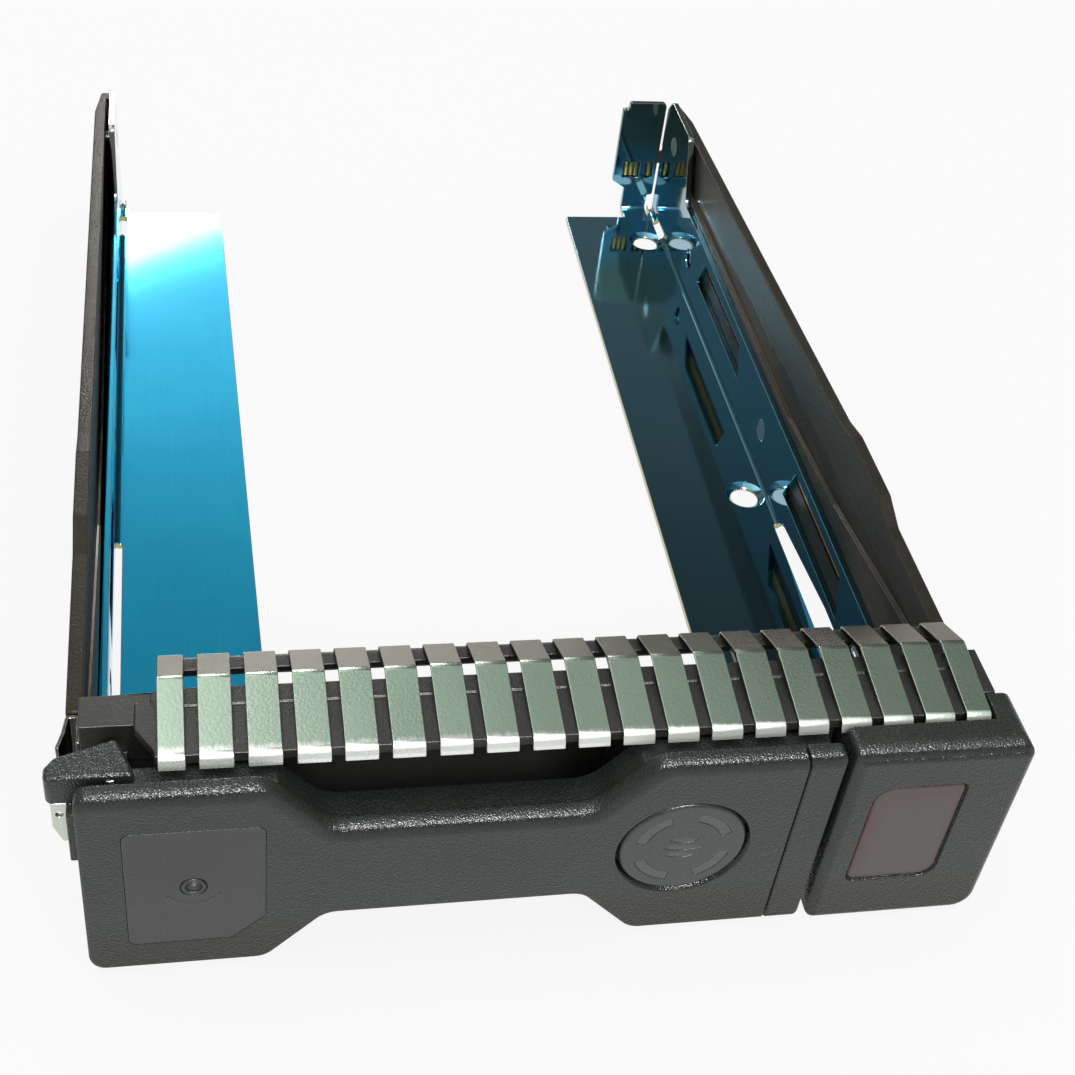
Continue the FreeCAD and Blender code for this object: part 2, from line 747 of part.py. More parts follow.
def button_spring():
    """Compression spring behind the button."""
    spring = coil(1.5, wire, rear_wall_front - flange_back - 2 * spring_gap, 6)
    spring.Placement = Placement(Vector(button_spring_at[0], flange_back + spring_gap, button_spring_at[1]),
                                 Rotation(Vector(1, 0, 0), -90))
    return spring


def catch_spring():
    """Compression spring that pushes the catch towards the lever."""
    spring = coil(1.0, wire, housing_right - housing_wall - catch_x[1] - 2 * spring_gap, 5)
    middle = (catch_front + catch_back) / 2
    spring.Placement = Placement(Vector(catch_x[1] + spring_gap, middle, sum(catch_z) / 2),
                                 Rotation(Vector(0, 1, 0), 90))
    return spring


def finger_centres():
    """X of the middle of each grounding finger."""
    first = finger_middle - finger_pitch * (finger_count - 1) / 2
    return [first + finger_pitch * i for i in range(finger_count)]


def finger_spans():
    """Low and high X of each finger; the first and the last are cut narrower."""
    spans = [(x - finger_width / 2, x + finger_width / 2) for x in finger_centres()]
    spans[0] = (spans[0][1] - first_finger_width, spans[0][1])
    spans[-1] = (spans[-1][0], spans[-1][0] + last_finger_width)
    return spans


def finger_right_edge():
    """X where the last finger ends."""
    return finger_spans()[-1][1]


def emi_finger_strip():
    """Sprung steel strip: arched fingers joined by a band that clips round the rear bar."""
    t = finger_thickness
    rear = bar_y[1] + t
    band_path = [(bar_y[0] + 0.2, bar_z[0] - t, 0), (rear, bar_z[0] - t, 0.4), (rear, bar_z[1] - 0.3, 0)]
    low, high = finger_spans()[0][0], finger_right_edge()
    band = ribbon(band_path, t, "YZ", low, high)
    finger_path = [
        (rear, bar_z[0] + 0.1, 0),
        (rear, bar_z[1] + 0.6, 0.5),
        (crest_y, crest_z, 3.0),
        (finger_front_y + 0.7, finger_front_z + 1.35, 1.1),
        (finger_front_y, finger_front_z, 0),
    ]
    fingers = [ribbon(finger_path, t, "YZ", *span) for span in finger_spans()]
    return fuse([band] + fingers)


def front_housing():
    """Moulded frame that joins the rails and carries the lever, the bezel and the fingers."""
    last = finger_right_edge()
    rear_wall = box((housing_left, housing_right), (rear_wall_front, housing_back),
                    (housing_bottom, housing_top - 0.5))
    top_plate = prism([
        (hinge_x + nub_swing, top_plate_front, 0),
        (last + 0.1, top_plate_front, 0),
        (last + 0.1, rear_wall_front, 0),
        (hinge_x + barrel_radius + 0.2, rear_wall_front, 0),
        (hinge_x + barrel_radius + 0.2, hinge_y + nub_swing + 0.3, 0),
        (hinge_x + nub_swing, hinge_y + 1.6, 0),
    ], "XY", plate_bottom, housing_top)
    top_bar = prism([
        (finger_spans()[0][0] - 0.7, rear_wall_front - 0.9, 1.2),
        (last + 0.1, rear_wall_front - 0.9, 0),
        (last + 0.1, housing_back, 0),
        (finger_spans()[0][0] - 0.7, housing_back, 1.2),
    ], "XY", plate_bottom - 0.6, housing_top + 0.2)
    height = (housing_bottom, plate_bottom)
    floor = (housing_bottom, housing_bottom + 1.4)
    depth = (wall_front, rear_wall_front)
    front_wall = box((wall_left, lever_right + 0.9), (wall_front, wall_back), height)
    bottom = box((wall_left, housing_right), (wall_back, rear_wall_front), floor)
    bottom = bottom.cut(box((bezel_left - 0.2, bezel_right), (0, bezel_back + 0.1), (0, floor[1] + 0.1)))
    cheeks = [
        box((x, x + cheek), depth, height) for x in (recess_x[0] - cheek, recess_x[1], wall_left)
    ]
    shelf = box(recess_x, depth, (recess_floor - 1.2, recess_floor))
    block_z = (nub_bottom - 1.4, housing_top - 0.5)
    left_block = box((housing_left, wall_left), (block_front, rear_wall_front), block_z)
    left_side = box((housing_left, housing_left + 1.5), (block_front, rear_wall_front),
                    (housing_bottom, block_z[0]))
    post = rod("XY", (hinge_x, hinge_y), barrel_radius, *post_z)
    post_web = box((hinge_x - 1.6, hinge_x + 1.6), (hinge_y, rear_wall_front), post_z)
    ear_z = (housing_bottom - 0.1, ear_top)
    ear = rod("XY", (hinge_x, hinge_y), pin_radius + 0.55, *ear_z)
    ear_web = box((hinge_x - 1.3, hinge_x + 1.3), (hinge_y, rear_wall_front), ear_z)
    ear_rib = box((hinge_x - 1.3, hinge_x + 1.3), (rear_wall_front - 3, rear_wall_front),
                  (ear_z[0], post_z[0] + 2.0))
    right_side = box((housing_right - housing_wall, housing_right), (bezel_back + 0.1, housing_back),
                     (housing_bottom, front_height))
    guide_x = (catch_x[0] + 1.9, catch_x[1] - 0.6)
    guide_y = (catch_front - 1.2, catch_back + 0.6)
    legs_z = (floor[1] - 0.2, catch_z[0] - slip)
    guides = [
        box(guide_x, guide_y, (catch_z[0] - 1.5, catch_z[0] - slip)),
        box((guide_x[0], guide_x[0] + 1.4), guide_y, legs_z),
        box((guide_x[1] - 1.4, guide_x[1]), guide_y, legs_z),
        box(guide_x, (guide_y[0], rear_wall_front), (catch_z[1] + slip, catch_z[1] + 1.5)),
    ]
    rear_bar = prism([
        (bar_y[0], bar_z[0], 0), (bar_y[1] - 0.3, bar_z[0], 0), (bar_y[1], bar_z[0] + 0.3, 0),
        (bar_y[1], bar_z[1], 0), (bar_y[0], bar_z[1], 0),
    ], "YZ", finger_spans()[0][0], last)
    ribs = [
        box((x - 0.8, x + 0.8), (housing_back - 0.5, bar_y[0] + 0.5), bar_z)
        for x in finger_centres()[1::3]
    ]
    stand_offs = [
        rod("XZ", at, 1.3, rear_wall_front - 0.6, rear_wall_front) for at in board_posts
    ]
    housing = fuse([rear_wall, top_plate, top_bar, front_wall, bottom, shelf, left_block, left_side,
                    post, post_web, ear, ear_web, ear_rib, right_side, rear_bar]
                   + cheeks + guides + ribs + stand_offs)
    recess = box(recess_x, (wall_front - 1, wall_back + 0.1), (recess_floor, plate_bottom))
    hook_slot = box((lever_right - 4.8, lever_right + 2), (wall_front - 1, wall_back + 1),
                    (catch_z[0] - 1.2, catch_z[1] + 1.2))
    light_hole = rod("XZ", (disc_x, disc_z), light_guide_radius + 0.15, wall_front - 1, wall_back + 1)
    flex_slot = box((rail_outer - 0.6, rail_outer + 0.5), (rear_wall_front - 1, housing_back + 1),
                    (flex_z[0] - 0.4, flex_z[1] + 0.4))
    pin_hole = rod("XY", (hinge_x, hinge_y), pin_radius, ear_z[0], post_z[1] + 0.9)
    cuts = [recess, hook_slot, light_hole, flex_slot, pin_hole]
    for x in finger_centres():
        if recess_x[0] + 2 < x < recess_x[1] - 2:
            slot = rectangle((x - 1.2, x + 1.2), (floor[1] + 0.8, recess_floor - 2.0))
            cuts.append(prism(slot, "XZ", wall_front - 1, housing_back + 1))
    for side in (-1, 1):
        for x, z in rail_screw_places:
            cuts.append(rod("XZ", (side * x, z), 0.95, rear_wall_front - 1, housing_back + 1))
    for at in bezel_screw_places:
        cuts.append(rod("XZ", at, bezel_screw_radius + fit, rear_wall_front - 0.1, housing_back + 1))
        cuts.append(cone("XZ", at, (bezel_screw_radius + fit, 1.5), housing_back - 1.0, housing_back))
    return housing.cut(Part.makeCompound(cuts))


def led_board():
    """Small circuit board behind the status disc."""
    back = rear_wall_front - 0.6
    board = box(board_x, (board_front, back), board_z)
    lamps = [
        box((disc_x + dx - 0.8, disc_x + dx + 0.8), (board_front - 0.6, board_front), (z - 0.5, z + 0.5))
        for dx, z in ((-2.4, disc_z), (2.4, disc_z), (0, disc_z + 2.4), (0, disc_z - 2.4))
    ]
    return fuse([board] + lamps)


def light_guide():
    """Clear guide that carries the light forward to the disc."""
    back = board_front - 0.7
    guide = cone("XZ", (disc_x, disc_z), (light_guide_radius, light_guide_radius - 0.5),
                 wall_front + 0.1, back)
    flange_low, flange_high = wall_back, wall_back + 1.0
    arm_z = (disc_z - guide_arm_width / 2, disc_z + guide_arm_width / 2)
    wings = box((disc_x - guide_wing, disc_x + guide_arm), (flange_low, flange_high), arm_z)
    legs = box((disc_x + guide_arm - 1.6, disc_x + guide_arm), (flange_low, board_front), arm_z)
    return fuse([guide, wings, legs])


def signal_flex():
    """Flat circuit from the rear contact along the right guide to the board in the front."""
    lane = rail_outer + fit
    level = rear_wall_front - 0.6
    rear = plate_y[1] + 0.5
    path = [
        (board_x[1] - 2.0, level + flex_thickness, 0),
        (lane + flex_thickness, level + flex_thickness, 1.2),
        (lane + flex_thickness, rear, 0.9),
        (plate_x[1] - 0.2, rear, 0),
    ]
    return ribbon(path, flex_thickness, "XY", *flex_z)


def rail(with_contact):
    """Bent steel rail: floor strip, low wall with a rear ear, and a flange on the housing."""
    corner = sheet + bend_inside
    section = [
        (rail_edge_front - 3, 0, 0),
        (rail_outer, 0, corner),
        (rail_outer, ear_height, 0),
        (rail_inner, ear_height, 0),
        (rail_inner, sheet, bend_inside),
        (rail_edge_front - 3, sheet, 0),
    ]
    blank = prism(section, "XZ", housing_back, ear_end + 2)
    slope = (rail_edge_rear - rail_edge_front) / (rail_end - housing_back)
    beyond = ear_end + 5
    waste_plan = [
        (rail_edge_front - 5, housing_back - 1, 0),
        (rail_edge_front - slope, housing_back - 1, 0),
        (rail_edge_rear, rail_end, 0.5),
        (rail_inner - 1.3, rail_end, 0),
        (rail_inner - 1.3, ear_end - 1, 0.5),
        (rail_outer - corner, ear_end - 1, 0),
        (rail_outer - corner, beyond, 0),
        (rail_edge_front - 5, beyond, 0),
    ]
    blank = blank.cut(prism(waste_plan, "XY", -1, sheet + 0.2))
    waste_side = [
        (housing_back - 1, wall_height, 0),
        (ear_start, wall_height, 2.0),
        (ear_start + 5.0, ear_height - 0.6, 1.5),
        (ear_end - 1.0, ear_height - 0.6, 1.5),
        (ear_end + 0.4, ear_height - 8, 0.5),
        (ear_end + 0.4, -1, 0),
        (beyond, -1, 0),
        (beyond, ear_height + 4, 0),
        (housing_back - 1, ear_height + 4, 0),
    ]
    blank = blank.cut(prism(waste_side, "YZ", rail_inner - 0.5, rail_outer + 1))
    flange = prism([
        (housing_back, 0, corner),
        (housing_back, flange_height, 0),
        (housing_back + sheet, flange_height, 0),
        (housing_back + sheet, sheet, bend_inside),
        (housing_back + corner + 1, sheet, 0),
        (housing_back + corner + 1, 0, 0),
    ], "YZ", rail_edge_front + flange_inset, rail_inner - 1.2)
    blank = blank.cut(box((0, rail_inner - 1.2), (0, housing_back + corner), (-1, sheet + 1)))
    strip = fuse([blank, flange])
    holes = [rod("XZ", at, 1.0, housing_back - 1, housing_back + 3) for at in rail_screw_places]
    wall_low, wall_high = rail_inner - 1, rail_outer + 1
    for start, stop, bottom, top, slant in windows:
        low, high = drive_end - start, drive_end - stop
        outline = [(low, bottom, 0), (high, bottom, 0), (high - slant, top, 0), (low + slant, top, 0)]
        holes.append(prism(outline, "YZ", wall_low, wall_high))
    for y in side_holes:
        holes.append(rod("YZ", (y, side_hole_z), drive_hole_radius, wall_low, wall_high))
    for y, z in rivet_places:
        holes.append(rod("YZ", (y, z), rivet_radius, wall_low, wall_high))
        holes.append(cone("YZ", (y, z), (rivet_head, rivet_radius), rail_inner, rail_outer - 0.2))
    fold_slot = [
        (fold_slot_y[0], -1, 0), (fold_slot_y[1] + 2.4, -1, 0), (fold_slot_y[1] + 2.4, 1.3, 0),
        (fold_slot_y[1], 2.4, 0), (fold_slot_y[1] - fold_slot_taper, fold_slot_top, 0),
        (fold_slot_y[0], fold_slot_top, 0),
    ]
    holes.append(prism(fold_slot, "YZ", rail_inner - 0.8, wall_high))
    holes.append(box((rail_inner - 0.8, wall_high), rear_slot_y, (-1, rear_slot_top)))
    strip = strip.cut(Part.makeCompound(holes))
    if not with_contact:
        return strip
    for y in (floor_hole_rear, floor_hole_rear - floor_hole_spacing):
        strip = strip.cut(rod("XY", (floor_hole_x, y), floor_hole_radius, -1, sheet + 1))
        rim = cone("XY", (floor_hole_x, y), (floor_hole_radius, floor_hole_rim), 0.3, sheet + 0.001)
        strip = strip.cut(rim)
    plate = prism([
        (rail_end - 1, 0, 0),
        (plate_y[1], 0, corner),
        (plate_y[1], plate_top, 0),
        (plate_y[0], plate_top, 0),
        (plate_y[0], sheet, bend_inside),
        (rail_end - 1, sheet, 0),
    ], "YZ", plate_x[0], plate_x[1])
    face = prism([
        (tab_x[0], -1, 0),
        (tab_x[1], -1, 0),
        (tab_x[1], 4.0, 0.5),
        (plate_x[1], 4.0, 0.5),
        (plate_x[1], plate_top, 0.8),
        (plate_x[0] + 1.2, plate_top, 0.4),
        (plate_x[0] + 1.2, plate_top - 1.4, 0.4),
        (plate_x[0], plate_top - 1.4, 0.4),
        (plate_x[0], plate_shoulder, 0.5),
        (tab_x[0], plate_shoulder - 1.6, 0.5),
    ], "XZ", rail_end - 2, plate_y[1] + 1)
    plate = plate.common(face)
    for low, high in contact_windows:
        window = rectangle((low, high), (contact_z[0] - 0.3, contact_z[1] + 0.3))
        plate = plate.cut(prism(window, "XZ", plate_y[0] - 1, plate_y[1] + 1))
    return fuse([strip, plate])


def guide(with_flex):
    """Plastic side guide outside a rail, with its raised stop near the front."""
    outline = [
        (guide_front, guide_bottom, 0.6),
        (overall_length - 6.0, guide_bottom, 2.0),
        (overall_length, 11.0, 2.0),
        (overall_length, guide_top_rear, 2.6),
        (guide_bump_y[1] + 5.0, guide_top_rear + 4.6, 6.0),
        (guide_bump_y[1], guide_bump_top, 2.0),
        (guide_bump_y[0], guide_bump_top, 2.0),
        (guide_bump_y[0] - 5.0, guide_top_front, 2.0),
        (guide_front, guide_top_front, 0.8),
    ]
    body = prism(outline, "YZ", rail_outer, guide_outer)
    upper = [
        (guide_front - 1, relief_line[0][1] + 2.7, 0), *relief_line,
        (overall_length - 12, wall_height + 0.8, 3.0), (overall_length - 4.0, wall_height + 5.8, 0),
        (overall_length - 4.0, guide_bump_top + 1, 0), (guide_front - 1, guide_bump_top + 1, 0),
    ]
    cuts = [prism(upper, "YZ", rail_outer - 1, rail_outer + guide_relief)]
    for y in side_holes:
        cuts.append(rod("YZ", (y, side_hole_z), screw_access_radius, rail_outer - 1, guide_outer + 1))
    for y, z in rivet_places:
        cuts.append(rod("YZ", (y, z), rivet_radius, rail_outer - 1, guide_outer - 0.8))
    for span in pocket_y:
        pocket = rectangle(span, pocket_z, 1.5)
        cuts.append(prism(pocket, "YZ", guide_outer - 0.7, guide_outer + 1))
    lead_in = [
        (guide_outer - 1.2, overall_length, 0), (guide_outer, overall_length - 9.0, 0),
        (guide_outer + 2, overall_length - 9.0, 0), (guide_outer + 2, overall_length + 2, 0),
        (guide_outer - 1.2, overall_length + 2, 0),
    ]
    cuts.append(prism(lead_in, "XY", 0, guide_bump_top))
    if with_flex:
        lane = box((rail_outer - 1, rail_outer + flex_thickness + 2 * fit),
                   (guide_front - 1, overall_length + 1), (flex_z[0] - 0.2, flex_z[1] + 0.2))
        cuts.append(lane)
    return body.cut(Part.makeCompound(cuts))


def guide_rivets(side):
    """Flush rivets that hold a guide to its rail."""
    rivets = []
    for y, z in rivet_places:
        head = cone("YZ", (y, z), (rivet_head - fit, rivet_radius - fit), rail_inner + fit,
                    rail_outer - 0.2)
        shank = rod("YZ", (y, z), rivet_radius - fit, rail_inner + fit, guide_outer - 0.9)
        rivets.append(fuse([head, shank]))
    group = Part.makeCompound(rivets)
    return group if side > 0 else mirrored(group)


def rail_screws():
    """Screws through the rails' flanges into the housing."""
    front = housing_back + sheet
    screws = []
    for side in (-1, 1):
        for x, z in rail_screw_places:
            at = (side * x, z)
            shank = rod("XZ", at, 0.9, rear_wall_front + 0.3, front + 0.2)
            head = rod("XZ", at, 1.7, front, front + screw_head_height)
            slot = box((at[0] - 1.1, at[0] + 1.1), (front + 0.7, front + 2), (z - 0.2, z + 0.2))
            screws.append(fuse([shank, head]).cut(slot))
    return Part.makeCompound(screws)


def contact_block():
    """Small connector body behind the rear plate."""
    return box((plate_x[0] + 1.0, plate_x[1] - 0.2), (plate_y[1], plate_y[1] + 1.6), (6.6, flex_z[1]))


def contact_pins():
    """Gilt contacts that show in the rear plate's windows."""
    pins = []
    reach = contact_width / 2
    for low, high in contact_windows:
        count = int((high - low - 0.2) / contact_pitch)
        start = (low + high - (count - 1) * contact_pitch) / 2
        for i in range(count):
            x = start + i * contact_pitch
            pins.append(box((x - reach, x + reach), (plate_y[0] + 0.3, plate_y[1]), contact_z))
    return Part.makeCompound(pins)


def side_spring_clip():
    """Bent leaf beside the hinge that grounds the caddy to the chassis."""
    inner = housing_left - fit
    rear = housing_back - 0.1
    path = [
        (inner - 2.6, block_front - 0.1, 0),
        (inner - 2.0, block_front + 2.0, 3.0),
        (inner - 1.6, rear, 0.6),
        (inner, rear, 0.6),
        (inner, block_front + 0.4, 0),
    ]
    return ribbon(path, -0.4, "XY", nub_bottom - 11.4, nub_bottom + 1.2)


front_block = round_front(slab(lever_outline(), lever_inset, cover_back), lever_inset)
pieces = {
    "lever_cover": lever_cover(front_block),
    "lever_frame": lever_frame(front_block),
    "lever_screws": lever_screws(),
    "cam_plate": cam_plate(),
    "status_disc": status_disc(),
    "status_light_inlay": status_light_inlay(),
    "indicator_window": indicator_window(),
    "indicator_ring": indicator_ring(),
    "lever_pin": lever_pin(),
    "lever_spring": lever_spring(),
    "fixed_bezel": fixed_bezel(),
    "bezel_screws": bezel_screws(),
    "release_button": release_button(),
    "button_spring": button_spring(),
    "lever_catch": lever_catch(),
    "catch_spring": catch_spring(),
    "front_housing": front_housing(),
    "emi_finger_strip": emi_finger_strip(),
    "led_board": led_board(),
    "light_guide": light_guide(),
    "signal_flex": signal_flex(),
    "tray_rail_left": mirrored(rail(with_contact=False)),
    "tray_rail_right": rail(with_contact=True),
    "side_guide_left": mirrored(guide(with_flex=False)),
    "side_guide_right": guide(with_flex=True),
    "guide_rivets_left": guide_rivets(-1),
    "guide_rivets_right": guide_rivets(1),
    "rail_screws": rail_screws(),
    "contact_block": contact_block(),
    "contact_pins": contact_pins(),
    "side_spring_clip": side_spring_clip(),
}

os.makedirs("parts", exist_ok=True)
for name, shape in pieces.items():
    shape.translate(Vector(0, -overall_length / 2, 0))
    shape.exportStep("parts/" + name + ".step")
    print(name, len(shape.Solids), "solids", shape.isValid(), round(shape.Volume, 1), "mm3")
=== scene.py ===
"""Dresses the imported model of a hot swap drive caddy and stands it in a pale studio."""

import json
import math

import bmesh
import bpy
import numpy as np
from bpy.props import FloatProperty, FloatVectorProperty, IntProperty, PointerProperty
from mathutils import Matrix, Quaternion, Vector

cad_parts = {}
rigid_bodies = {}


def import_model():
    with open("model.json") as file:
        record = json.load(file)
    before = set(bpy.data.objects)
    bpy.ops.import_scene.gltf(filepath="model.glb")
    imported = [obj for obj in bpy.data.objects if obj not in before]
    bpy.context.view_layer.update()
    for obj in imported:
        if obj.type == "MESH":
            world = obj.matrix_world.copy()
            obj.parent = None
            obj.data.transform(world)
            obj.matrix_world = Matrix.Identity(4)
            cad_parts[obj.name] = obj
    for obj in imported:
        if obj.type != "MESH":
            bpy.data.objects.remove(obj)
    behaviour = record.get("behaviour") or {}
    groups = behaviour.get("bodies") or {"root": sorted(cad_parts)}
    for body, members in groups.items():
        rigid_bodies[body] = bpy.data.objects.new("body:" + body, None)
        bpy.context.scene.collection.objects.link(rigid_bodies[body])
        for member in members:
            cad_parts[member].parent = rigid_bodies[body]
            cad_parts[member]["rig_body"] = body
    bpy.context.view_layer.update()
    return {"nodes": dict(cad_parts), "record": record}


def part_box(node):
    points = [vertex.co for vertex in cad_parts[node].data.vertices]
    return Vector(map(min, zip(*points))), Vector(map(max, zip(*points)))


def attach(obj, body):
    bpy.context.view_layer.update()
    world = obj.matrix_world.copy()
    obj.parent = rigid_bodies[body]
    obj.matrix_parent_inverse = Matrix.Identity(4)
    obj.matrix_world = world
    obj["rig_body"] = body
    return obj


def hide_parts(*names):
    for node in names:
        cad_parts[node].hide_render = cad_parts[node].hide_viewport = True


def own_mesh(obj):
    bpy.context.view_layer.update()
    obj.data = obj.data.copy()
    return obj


bl_info = {
    "name": "Hot swap drive caddy",
    "version": (1, 0, 0),
    "blender": (4, 5, 0),
    "location": "3D View > Sidebar > Caddy",
    "description": "Makes the pieces, finishes and studio of a hot swap drive caddy",
    "category": "Object",
}

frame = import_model()
HALF = 0.0865  # half the overall length, from the front face to the origin
MM = 1000  # millimetres in a metre

# Places in the frame, in metres, between which a finish changes.
SOFT_END = 0.0003 - HALF
LOW_TINT_TOP = 0.0095
GUIDE_LINE = (0.0195, 0.0202)
GUIDE_RISE = 0.045
INWARD = (0.0, -0.03)
BUTTON_LEFT, BUTTON_RIGHT = (0.0402, 0.0377), (0.0480, 0.0493)
BUTTON_TOP, BUTTON_FOOT = (0.0216, 0.0251), (0.0088, 0.0078)
MIDDLE = (-0.01, 0.01)
EAR_REAR, EAR_FOOT = (0.058, 0.064), (0.009, 0.016)
FLOOR_TOP = (0.0012, 0.0009)
FINGER_CREST = (-0.0697, -0.0689)
FINGER_BEND = (-0.0785, -0.0791)
FINGER_LIP = (-0.0797, -0.0802)
FADING_BENDS = (0.0, 0.045)

# Copies of CAD nodes: points nearer than this are one, faces within the level angle are one face,
# and edges past the sharp angle are rounded.
MERGED = 2e-6
LEVEL, SHARP = math.radians(0.4), math.radians(30.0)

# Side view of a finger and of the band, in mm from the front face and the base, with the inner
# radius of each bend.
FINGER_SIDE = [(23.25, 27.75), (23.25, 29.15), (17.2, 31.82), (6.4, 30.35), (5.72, 29.0)]
FINGER_RADII = [0.5, 1.5, 1.1]
BAND_SIDE = [(21.3, 27.35), (23.25, 27.35), (23.25, 28.45)]
BAND_RADII = [0.4]
FIRST_FINGER_X = -43.51
FIRST_WIDTH, LAST_WIDTH = 2.95, 3.15
CREST_DROP, TIP_LEAN = 0.10, 0.05

WHITE = (1.0, 1.0, 1.0, 1.0)
DUST, GUIDE_DUST = (0.30, 0.31, 0.29), (0.25, 0.25, 0.23)
GUIDE_CORNER = (0.08, 0.08, 0.074)
CLIP_STEEL, CLIP_STEEL_PALE = (0.030, 0.028, 0.026), (0.05, 0.047, 0.043)

# Level of the world that mirrors see, by height: from level and below (0) to straight up (1).
MIRROR_LEVELS = (
    (0.0, 0.32), (0.25, 0.45), (0.50, 1.0), (0.57, 0.82), (0.605, 0.68), (0.64, 0.49),
    (0.675, 0.38), (0.70, 0.33), (0.77, 0.26), (0.83, 0.48), (0.88, 0.60), (1.0, 0.56),
)


def tint(name, text, value):
    """Colour setting in linear red, green and blue."""
    return FloatVectorProperty(
        name=name, description=text, subtype="COLOR", size=3, min=0.0, max=1.0, default=value
    )


def length(name, text, value):
    """Size setting in metres."""
    return FloatProperty(
        name=name, description=text, subtype="DISTANCE", unit="LENGTH", min=0.0, default=value,
        precision=5,
    )


class CaddyColours(bpy.types.PropertyGroup):
    """Colours of the caddy's materials."""

    front: tint("Front plastic", "Lever, bezel and housing", (0.027, 0.034, 0.029))
    recess: tint("Housing plastic", "Housing behind the lever", (0.029, 0.028, 0.024))
    guide: tint("Guide plastic", "Side guides", (0.034, 0.031, 0.025))
    # Painted reflection: warm streaks low on the guides' inner faces.
    guide_reflection: tint("Guide plastic, low", "Warm patches low on the guides", (0.15, 0.115, 0.080))
    button: tint("Button face", "Middle of the release button", (0.082, 0.070, 0.066))
    # Painted shade: the darker red rim stands for the button's inner shadow, wider at the top and left.
    button_rim_shade: tint("Button edge", "Rim of the release button", (0.090, 0.026, 0.032))
    lens: tint("Status disc", "Round lens on the lever", (0.048, 0.056, 0.050))
    inlay: tint("Light segments", "Pale segments in the disc", (0.080, 0.090, 0.083))
    field: tint("Label field", "Bare field on the lever", (0.044, 0.049, 0.046))
    rail: tint("Rail steel", "Blue passivated sheet", (0.012, 0.42, 0.66))
    rail_deep: tint("Rail steel, thick", "Where the blue coat is thickest", (0.006, 0.33, 0.56))
    rail_thin: tint("Rail steel, thin", "Where the blue coat is thin, on the right rail", (0.15, 0.36, 0.46))
    rail_bare: tint("Rail steel, bare", "Ear and rear plate of the right rail", (0.22, 0.26, 0.22))
    rail_pale: tint("Rail steel, pale", "Ear of the left rail", (0.40, 0.42, 0.37))
    # Browner and darker towards the bottom of the front plastic.
    low_tint: tint("Low edge", "Handled low edge of the front", (0.015, 0.012, 0.003))
    # Painted highlight: near-white colour that the fingers' front bends get for the light they catch.
    bright: tint("Bent steel", "Burnished bends of the fingers", (0.93, 0.96, 0.90))
    # Painted highlight: the yellowish colour on the rails' cut edges and cut faces.
    edge_highlight: tint("Cut edge", "Bare edges of the blue sheet", (0.42, 0.36, 0.16))
    finger: tint("Finger steel", "Grounding fingers", (0.50, 0.65, 0.51))
    steel: tint("Plain steel", "Screws, pin and springs", (0.56, 0.57, 0.55))
    tongue: tint("Tongue steel", "Satin steel under the nub", (0.62, 0.68, 0.58))
    gilt: tint("Contact gilt", "Gilded contacts", (0.90, 0.58, 0.16))
    board: tint("Board laminate", "Lamp board", (0.02, 0.085, 0.03))
    film: tint("Flex film", "Flat circuit", (0.42, 0.16, 0.03))
    block: tint("Connector plastic", "Body of the rear connector", (0.05, 0.04, 0.03))


class CaddySizes(bpy.types.PropertyGroup):
    """Sizes of the pieces made here, which follow the CAD model's own."""

    moulded_edge: length("Moulded edges", "Rounding of the plastic edges", 0.00022)
    sheet_edge: length("Sheet edges", "Rounding of the sheared steel edges", 0.00010)
    finger_pitch: length("Finger pitch", "From one grounding finger to the next", 0.00529)
    finger_width: length("Finger width", "Width of a grounding finger", 0.00375)
    finger_gauge: length("Finger gauge", "Thickness of the finger steel", 0.00025)
    finger_count: IntProperty(name="Fingers", description="Number of grounding fingers", default=19)
    wire: length("Spring wire", "Thickness of the spring wire", 0.00035)
    travel: length("Button travel", "How far the button and the catch move", 0.0015)
    ring_radius: length("Ring radius", "Outer radius of the small ring", 0.0014)
    grain: length("Grain", "Width of a grain of the moulded surface", 0.00027)
    grain_depth: length("Grain depth", "Depth of the moulded grain", 0.00008)


class CaddyStudio(bpy.types.PropertyGroup):
    """Light round the caddy."""

    even: FloatProperty(name="Even light", description="World light on matt surfaces", default=0.55)
    front: FloatProperty(name="Front lamp", description="Front softbox", unit="POWER", default=2.2)
    top: FloatProperty(name="Top lamp", description="Overhead softbox", unit="POWER", default=2.0)
    spark: FloatProperty(name="Spark lamp", description="Small front lamp", unit="POWER", default=15.0)
    rear: FloatProperty(name="Window lamp", description="Glare on the left rail", unit="POWER", default=1.9)
    mirror: FloatProperty(name="Mirror light", description="World light in mirrors", default=1.6)
    focal: FloatProperty(name="Focal length", description="Of the camera, in mm", default=57.2052)


def settings(kind):
    """The scene's colours, sizes or studio."""
    return getattr(bpy.context.scene, "caddy_" + kind)


def millimetres(points):
    """Points in mm from the front face become metres in the frame, whose origin is mid-length."""
    return np.asarray(points, float) * 0.001 - np.array([0.0, HALF, 0.0])


def feed(tree, socket, value):
    """Links another node's output to an input, or gives the input its value."""
    if isinstance(value, bpy.types.NodeSocket):
        tree.links.new(value, socket)
    else:
        socket.default_value = value


def node(tree, kind, inputs=None, **values):
    """Places a shader node, sets its properties, then feeds its inputs."""
    made = tree.nodes.new("ShaderNode" + kind)
    for key, value in values.items():
        setattr(made, key, value)
    for key, value in (inputs or {}).items():
        feed(tree, made.inputs[key], value)
    return made


def opaque(colour):
    """Colour with full alpha."""
    return (*colour, 1.0)


